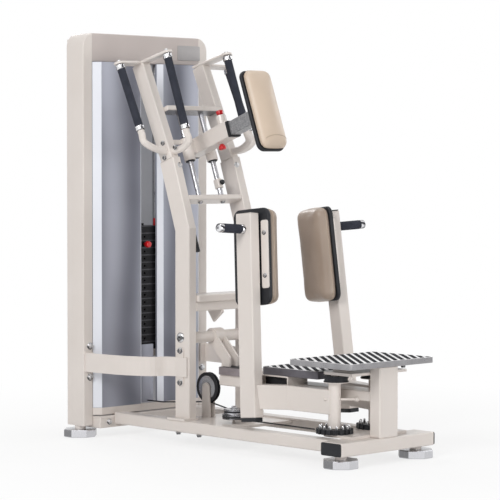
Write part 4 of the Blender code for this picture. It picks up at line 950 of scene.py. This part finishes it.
def makeTread(name, t, node, finish, fillet):
    # a bright tray with rubber bars standing a little proud of it
    middle = t["front"] + t["length"] / 2
    tray = slab(t["width"], t["length"], t["corner"], t["thickness"] - bars["proud"], fillet,
                axesAt((0, middle, t["top"] - t["thickness"])), 6, 4)
    piece(name + "Tray", [tray], finish, replaced=(node,))
    piece(name + "Strips", slantingBars(t["width"], t["length"], middle, t["top"]), treadRubber)


def makeTreads():
    # the platform, the lower tread, a short beam under it, and the cover on the spine beam
    makeTread("platform", platform, "platform", twoFinishes("platformMetal", traySide, trayTop, facingUp), 0.002)
    makeTread("rearTread", tread, "rear_tread", twoFinishes("treadMetal", treadSide, trayTop, facingUp), 0.003)
    # the short box beam under the tread's left side: a cream rim round a dark mouth
    b = treadBeam
    deep, tall = b["near"] - b["far"], tread["top"] - tread["thickness"] - hair - b["low"]
    y, z, wall = (b["near"] + b["far"]) / 2, b["low"] + tall / 2, 2 * b["wall"]
    mouth, inside = (axesAt((x, y, z), (0, 1, 0), (0, 0, 1), (1, 0, 0)) for x in (b["x0"], b["x0"] + b["deep"]))
    piece("treadBeam", [frameShell(mouth, (deep, tall), (deep - wall, tall - wall), b["x1"] - b["x0"], 0.004)], cream)
    plug = slab(deep - wall - 0.0002, tall - wall - 0.0002, 0.003, b["deep"], 0.001, inside)
    piece("treadBeamPlug", [plug], blackPlastic)
    c = spineCap
    cover = slab(c["width"], c["length"], 0.004, c["tall"], 0.0015, axesAt((0, c["back"] - c["length"] / 2, c["low"])))
    piece("spineCap", [cover], twoFinishes("capMetal", capGrey, blackPlastic, facingUp))


makeTreads()
print("scene: treads made")

pin = {"radius": 0.013, "length": 0.030, "shank": 0.0045}
marker = {"x": 0.074, "y": 0.028, "seat": 0.832, "width": 0.022, "depth": 0.010, "tall": 0.030}
lift = {"radius": 0.003, "travel": math.radians(35) * 0.35 + 0.002, "stations": 24}


def makePin():
    # the selector pin: a stepped red knob on a steel shank
    low, high = machineBox("selector_pin")
    z, r, s = (low[2] + high[2]) / 2, pin["radius"], pin["shank"]
    head = [(r * 0.45, 0.0), (r * 0.62, 0.003), (r * 0.66, 0.008), (r * 0.9, 0.011), (r, 0.014), (r, 0.024),
            (r * 0.9, 0.0285), (r * 0.6, 0.0298), (r * 0.2, 0.0296)]
    front = low[1] + pin["length"]
    deep = high[1] - front
    piece("pinKnob", [lathe(head, (0, front, z), (0, -1, 0))], redPlastic, "selector_pin", ("selector_pin",))
    shank = [(s * 0.8, 0), (s, 0.001), (s, deep + 0.002), (s * 0.5, deep + 0.004)]
    piece("pinShank", [lathe(shank, (0, front - 0.004, z), (0, 1, 0), 16)], chrome, "selector_pin")


def makeMarker():
    # the red clip that stands on the head plate
    m = marker
    place = axesAt((m["x"], m["y"], m["seat"]))
    clip = slab(m["width"], m["depth"], 0.003, m["tall"], 0.002, place, 5, 4)
    piece("stackClip", [clip], redPlastic, "lifted_weight")


def makeLiftCable():
    # the run over the stack: it hangs from the pulley
    low, high = (np.array(c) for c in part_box("lift_cable"))
    middle = (low + high) / 2
    z = np.linspace(low[2], high[2], lift["stations"])
    path = level(np.tile((middle - machineShift)[:2], (len(z), 1)), z)
    cable = piece("liftCable", [tubeAlong(path, lift["radius"], 12)], cableBlack, replaced=("lift_cable",))
    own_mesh(cable)


pulleys = {"at": (-0.070, -0.585), "low": 0.045, "second": 0.040, "tall": 0.019, "cheek": 0.0016, "topCheek": 0.002,
           "groove": 0.004, "largeFace": 0.046, "bolt": (0.010, 0.009)}


def wheelProfile(radius, low, high):
    # a pulley's section: flat cheeks and a round groove, radius R - g sin(pi s) between its lips
    s = np.linspace(0, 1, 9)
    lip, bore = (high - low) * 0.16, 0.0045
    profile = [(bore, low), (radius * 0.94, low), (radius, low + lip * 0.5)]
    profile += list(zip(radius - pulleys["groove"] * np.sin(np.pi * s), low + lip + s * (high - low - 2 * lip)))
    return profile + [(radius, high - lip * 0.5), (radius * 0.94, high), (bore, high)]


def makePulleys():
    # the low pulley as a pair of wheels with bright cheeks on one bolt, and bright faces on the large one
    q, cheek = pulleys, pulleys["cheek"]
    low, high = machineBox("low_pulley")
    at, second = (*q["at"], 0), high[2] + q["tall"]
    wheels, grooves, cheeks = [], [], []
    for r, a, b, top in ((q["low"], low[2] + cheek, high[2] - cheek, cheek),
                         (q["second"], high[2] + cheek, second, q["topCheek"])):
        wheels.append(lathe(wheelProfile(r, a, b), at, count=48))
        z, deep = (a + b) / 2, r - 0.0022
        band = [(0.02, z - 0.003), (deep, z - 0.003), (deep, z + 0.003), (0.02, z + 0.003)]
        grooves.append(lathe(band, at, count=40))
        for z, h in ((a - cheek, cheek), (b, top)):
            disc = [(0.004, z), (r * 0.97, z), (r, z + h * 0.4), (r * 0.97, z + h), (0.004, z + h)]
            cheeks.append(lathe(disc, at, count=48))
    cheeks += hexHead((*q["at"], second + q["topCheek"]), (0, 0, 1), *q["bolt"])
    piece("lowPulleyWheels", wheels, aluminium, "low_pulley", ("low_pulley",))
    piece("lowPulleyGrooves", grooves, blackPlastic, "low_pulley")
    piece("lowPulleyCheeks", cheeks, aluminium, "low_pulley")
    low, high = machineBox("large_pulley")
    r = q["largeFace"]
    face = [(0.006, -0.0002), (0.006, 0.0006), (r * 0.5, 0.0006), (r * 0.97, 0.0006), (r, 0.0002), (r, -0.0002)]
    faces = [lathe(face, (x, *((low + high) / 2)[1:]), (sign, 0, 0), 48) for sign, x in ((-1, low[0]), (1, high[0]))]
    piece("largePulleyFaces", faces, aluminium, "large_pulley")


clamp = {"along": -0.1225, "width": 0.026, "depth": 0.030, "tall": 0.038, "knob": 0.010}


def makeRailClamp():
    # the stop on the right rail: a rounded block round the rod with a black thumb knob in front
    c, r = clamp, clamp["knob"]
    place = axesAt(onRail(railX, c["along"] - c["tall"] / 2, 0), railSide, -railOut, railWay)
    piece("railClamp", [slab(c["width"], c["depth"], 0.008, c["tall"], 0.003, place, 5, 4)], cream)
    shape = [(r * 0.5, 0), (r * 0.55, 0.003), (r, 0.005), (r, 0.012), (r * 0.8, 0.015), (r * 0.3, 0.0155)]
    seat = onRail(railX, c["along"], c["depth"] / 2 - 0.0005)
    piece("railClampKnob", [lathe(shape, seat, railOut, 28)], blackPlastic)


makePin()
makeLiftCable()
makePulleys()
makeRailClamp()
makeMarker()
print("scene: pin, cable, pulleys and clamp made")

# foot, head and thick: cap thicknesses; in: how much smaller a cap is than its tube
caps = {"corner": 0.006, "rim": 0.0018, "post": {"foot": 0.015, "head": 0.004, "in": 0.002},
        "crossbar": {"width": 0.5, "depth": 0.1, "height": 0.05, "y": -1.275, "z": 0.0693, "thick": 0.005, "in": 0.003}}
carriage = {"front": 0.204, "back": 0.035, "width": 0.060, "height": 0.064, "tube": (0.046, 0.054),
            "lip": 0.012, "backLip": 0.005, "bosses": (-0.025, 0.065), "boss": 0.0185}
guardPlate = {"x": 0.1812, "y": -0.405, "z": 0.300, "width": 0.034, "tall": 0.146, "thick": 0.004, "corner": 0.006}


def capShell(at, zAxis, xAxis, width, length, thickness):
    # a plastic end cap: a rounded plate standing on its tube's open end
    return slab(width, length, caps["corner"], thickness, caps["rim"], towards(at, zAxis, xAxis))


def makeCaps():
    # plastic caps on the crossbar's ends and on both ends of the arm posts
    c, p = caps["crossbar"], caps["post"]
    ends = [capShell((sign * c["width"] / 2, c["y"], c["z"]), (sign, 0, 0), (0, 1, 0), c["depth"] - c["in"],
                     c["height"] - c["in"], c["thick"]) for _, sign in sides]
    piece("crossbarCaps", ends, blackPlastic)
    ends = [capShell(at, way, postAcross, arms["postWidth"] - p["in"], arms["postDepth"] - p["in"], thick)
            for at, way, thick in ((postFoot, -postWay, p["foot"]), (postHead, postWay, p["head"]))]
    armPieces("armPostCaps", ends, blackPlastic)


def makeGlides():
    # black frames at both mouths of the carriage's box, and dark rings where the rails enter its bosses
    c = carriage
    outer, inner = (c["width"] - 0.002, c["height"] - 0.001), (c["tube"][0] + 0.0008, c["tube"][1] + 0.0008)
    shells = []
    for out, way, thick in ((c["front"], 1, c["lip"]), (-c["back"], -1, c["backLip"])):
        place = axesAt(onRail(0, slideTube["along"], out), railSide, railWay, railOut * way)
        shells.append(frameShell(place, outer, inner, thick, 0.004))
    for _, sign in sides:
        for along, way in zip(c["bosses"], (-1, 1)):
            at = onRail(sign * railX, along, 0)
            shells.append(ringShell(at, railWay * way, c["boss"], rails["radius"] + 0.0006, 0.004))
    piece("carriageGlides", shells, blackPlastic, "carriage")


# bolts of the frame, mirrored to both sides: (place, way, radius, height) of the right one
frameBolts = {
    "guardBars": [((0.302, -0.0005, z), (0, -1, 0), 0.0105, 0.012) for z in (0.362, 0.238)]
                 + [((0.1852, -0.405, z), (1, 0, 0), 0.0095, 0.008) for z in (0.363, 0.239)],
    "handleColumns": [((0.1813, y, z), (1, 0, 0), 0.0075, 0.006)
                      for y, z in ((-0.302, 1.165), (-0.372, 1.149), (-0.312, 1.108))],
    "uprights": [((0.153, -0.3665, 1.080), (0, -0.948, 0.317), 0.0085, 0.008)],
    "baseBeams": [((0.212, y, 0.0503), (0, 0, -1), 0.009, 0.007) for y in (-0.425, -0.542)]
                 + [((0.239, -0.0452, 0.060), (0, -1, 0), 0.009, 0.008)],
}
crossTubeCap = ((0.1812, -0.402, 0.413), 0.020, 0.008)
platformBolt = ((0.112, -1.293, 0.3537), (0, 0, -1), 0.009, 0.012)
railBolt = {"past": 0.0202, "radius": 0.008, "height": 0.006}


def makeBolts():
    # the frame's bolts on both sides, and the plates at the guard bars' front ends
    shells, plates, g = [], [], guardPlate
    for _, sign in sides:
        flip = np.array([sign, 1, 1])
        start = sign * g["x"] - (g["thick"] if sign < 0 else 0)
        place = axesAt((start, g["y"], g["z"]), (0, 1, 0), (0, 0, 1), (1, 0, 0))
        plates.append(slab(g["width"], g["tall"], g["corner"], g["thick"], 0.001, place))
        for group in frameBolts.values():
            for at, way, radius, height in group:
                shells += hexHead(np.array(at) * flip, np.array(way) * flip, radius, height)
        at, radius, height = crossTubeCap
        shells += domeHead(np.array(at) * flip, (sign, 0, 0), radius, height)
        for way in (-1, 1):
            at = onRail(sign * railX, way * (rails["length"] / 2 + railBolt["past"]), 0.0)
            shells += hexHead(at, way * railWay, railBolt["radius"], railBolt["height"])
    shells += hexHead(*platformBolt)
    piece("frameBolts", shells, zinc)
    piece("guardPlates", plates, cream)


lever = {"start": (-0.140, -1.131, 0.229), "end": (-0.052, -1.216, 0.229), "radius": 0.0045, "ball": 0.010}


def makeLever():
    # the start lever on the left arm: a rod with a ball at its end
    a, b = np.array(lever["start"]), np.array(lever["end"])
    rod = tubeAlong(a + (b - a) * np.linspace(0, 1, 24)[:, None], lever["radius"], 14)
    ball = [(lever["ball"] * math.sin(k), -lever["ball"] * math.cos(k)) for k in np.linspace(0.06, np.pi - 0.06, 18)]
    piece("armLever", [rod, lathe(ball, b, b - a, 24)], cream, "left_arm")


discPins = {"count": 14, "ring": 0.054, "radius": 0.0045, "seat": 0.1226, "tall": 0.013}


def makeDiscPins():
    # bright plungers standing in a ring on each pivot's disc, clear of the sleeve
    d, r, tall = discPins, discPins["radius"], discPins["tall"]
    profile = [(r, 0), (r, tall * 0.75), (r * 0.75, tall), (r * 0.2, tall)]
    ring = circleOf(np.array([d["ring"], 0, 0]), np.array([0, d["ring"], 0]), d["count"])
    armPieces("discPins", [lathe(profile, at + [0, 0, d["seat"]], count=12) for at in ring], zinc)


adjuster = {"low": 0.618, "high": 0.872, "width": 0.036, "thick": 0.006, "corner": 0.008, "back": 0.022,
            "bolts": (0.665, 0.825), "bolt": (0.007, 0.006)}


def makeAdjusters():
    # the plate behind each leg pad that its bolts slide along, with its two bolts
    a = adjuster
    mid = postAt((a["low"] + a["high"]) / 2)
    at = mid + postAcross * (arms["postWidth"] / 2 + arms["saddle"] - 0.001 - a["thick"] * 0.5)
    at = at - postThird * (arms["postDepth"] / 2 + a["back"])
    length = (a["high"] - a["low"]) / postWay[2]
    place = axesAt(at, postThird, postWay, postAcross)
    armPieces("padAdjuster", [slab(a["width"], length, a["corner"], a["thick"], 0.0015, place)], cream)
    bolts = []
    for z in a["bolts"]:
        seat = at + postWay * ((z - mid[2]) / postWay[2])
        bolts += hexHead(seat - postAcross * 0.0001, -postAcross, *a["bolt"])
    armPieces("adjusterBolts", bolts, zinc)


makeCaps()
makeGlides()
makeBolts()
makeLever()
makeDiscPins()
makeAdjusters()
print("scene: caps, glides and fasteners made")

columns = {"half": 0.332, "width": 0.046, "depth": 0.1002, "low": 0.0443, "top": 1.600, "arch": 0.055,
           "proud": 0.0006, "front": 0.0014, "rim": 0.0035}
slotPlate = {"left": -0.0355, "right": 0.030, "low": 0.117, "high": 0.352, "back": -0.0042, "thick": 0.002}
shields = {"edge": 0.2857, "front": 0.026, "facet": 0.019, "slot": {-1: 0.036, 1: 0.050}, "low": 0.116, "high": 1.486,
           "proud": 0.0006, "wall": 0.0012}
plaque = {"x": 0.2315, "z": 1.537, "width": 0.124, "tall": 0.060, "thick": 0.0022}
rearScrews = {"in": 0.018, "end": 0.03, "rows": 6, "radius": 0.0065, "height": 0.0008}


def makeColumns():
    # the side columns run up through the header's ends: their outline has the tower's rounded corner
    c = columns
    half, top, r = c["half"] + c["proud"], c["top"] + c["proud"], c["arch"] + c["proud"]
    a = np.linspace(0, np.pi / 2, 13)
    arch = np.column_stack([half - r + r * np.cos(a), top - r + r * np.sin(a)])
    inner = half - r - 0.01
    outline = np.concatenate([[(inner, c["low"]), (half, c["low"])], arch, [(inner, top)]])
    outline = clipped(outline, np.array([-1.0, 0.0]), -(c["half"] - c["width"]))
    k = np.linspace(0, np.pi / 2, 5)
    stations = list(zip(c["rim"] * (1 - np.sin(k)), -c["front"] + c["rim"] * (1 - np.cos(k)))) + [(0.0, c["depth"])]
    rings = [(insetShape(outline, inset) if inset > 0 else outline, y) for inset, y in stations]
    for side, sign in sides:
        rows = [level(ring, y)[:, [0, 2, 1]] * [sign, 1, 1] for ring, y in rings]
        piece("towerColumn." + side, [loft(rows)], cream, replaced=("tower_column_" + side,))


def makeSlotPlate():
    # the sheet that closes the slot under the stack, leaving a dark gap along its right side
    q = slotPlate
    place = upright(((q["left"] + q["right"]) / 2, q["back"], (q["low"] + q["high"]) / 2))
    piece("slotPlate", [slab(q["right"] - q["left"], q["high"] - q["low"], 0.004, q["thick"], 0.0006, place)], silver)


def facetShell(start, end):
    # a thin pale strip laid on a shield's slanting facet, from floor rail to header
    n = np.array([end[1] - start[1], start[0] - end[0], 0.0])
    n /= np.linalg.norm(n)
    if n[1] > 0:
        n = -n
    strip = np.array([(*start, 0), (*end, 0)])
    outer, inner = strip + n * shields["proud"], strip - n * shields["wall"]
    ring = np.array([outer[0], outer[1], inner[1], inner[0]])
    return loft([ring + [0, 0, z] for z in (shields["low"], shields["high"])])


def makeFacets():
    # each shield has one strip at its outer edge and one at the slot
    s, e = shields, shields["edge"]
    shells = []
    for sign, slot in s["slot"].items():
        shells.append(facetShell((sign * e, -0.0015), (sign * (e - s["front"]), -s["front"])))
        shells.append(facetShell((sign * (slot + s["facet"]), -s["front"]), (sign * slot, s["facet"] - s["front"])))
    piece("shieldFacets", shells, paleFacet)


def makePlaque():
    # a bare plaque where the header carries one
    p = plaque
    place = upright((p["x"], 0.0002, p["z"]))
    piece("headerPlaque", [slab(p["width"], p["tall"], 0.005, p["thick"], 0.0008, place)], plaqueGrey)


def makeRearScrews():
    # a row of flat screws down each side of the rear cover
    low, high = machineBox("rear_cover")
    s = rearScrews
    shells = []
    for x in (low[0] + s["in"], high[0] - s["in"]):
        for z in np.linspace(low[2] + s["end"], high[2] - s["end"], s["rows"]):
            shells += domeHead((x, high[1] - 0.0004, z), (0, 1, 0), s["radius"], s["height"])
    piece("rearScrews", shells, zinc)


makeColumns()
makeSlotPlate()
makeFacets()
makePlaque()
makeRearScrews()
print("scene: tower trim made")
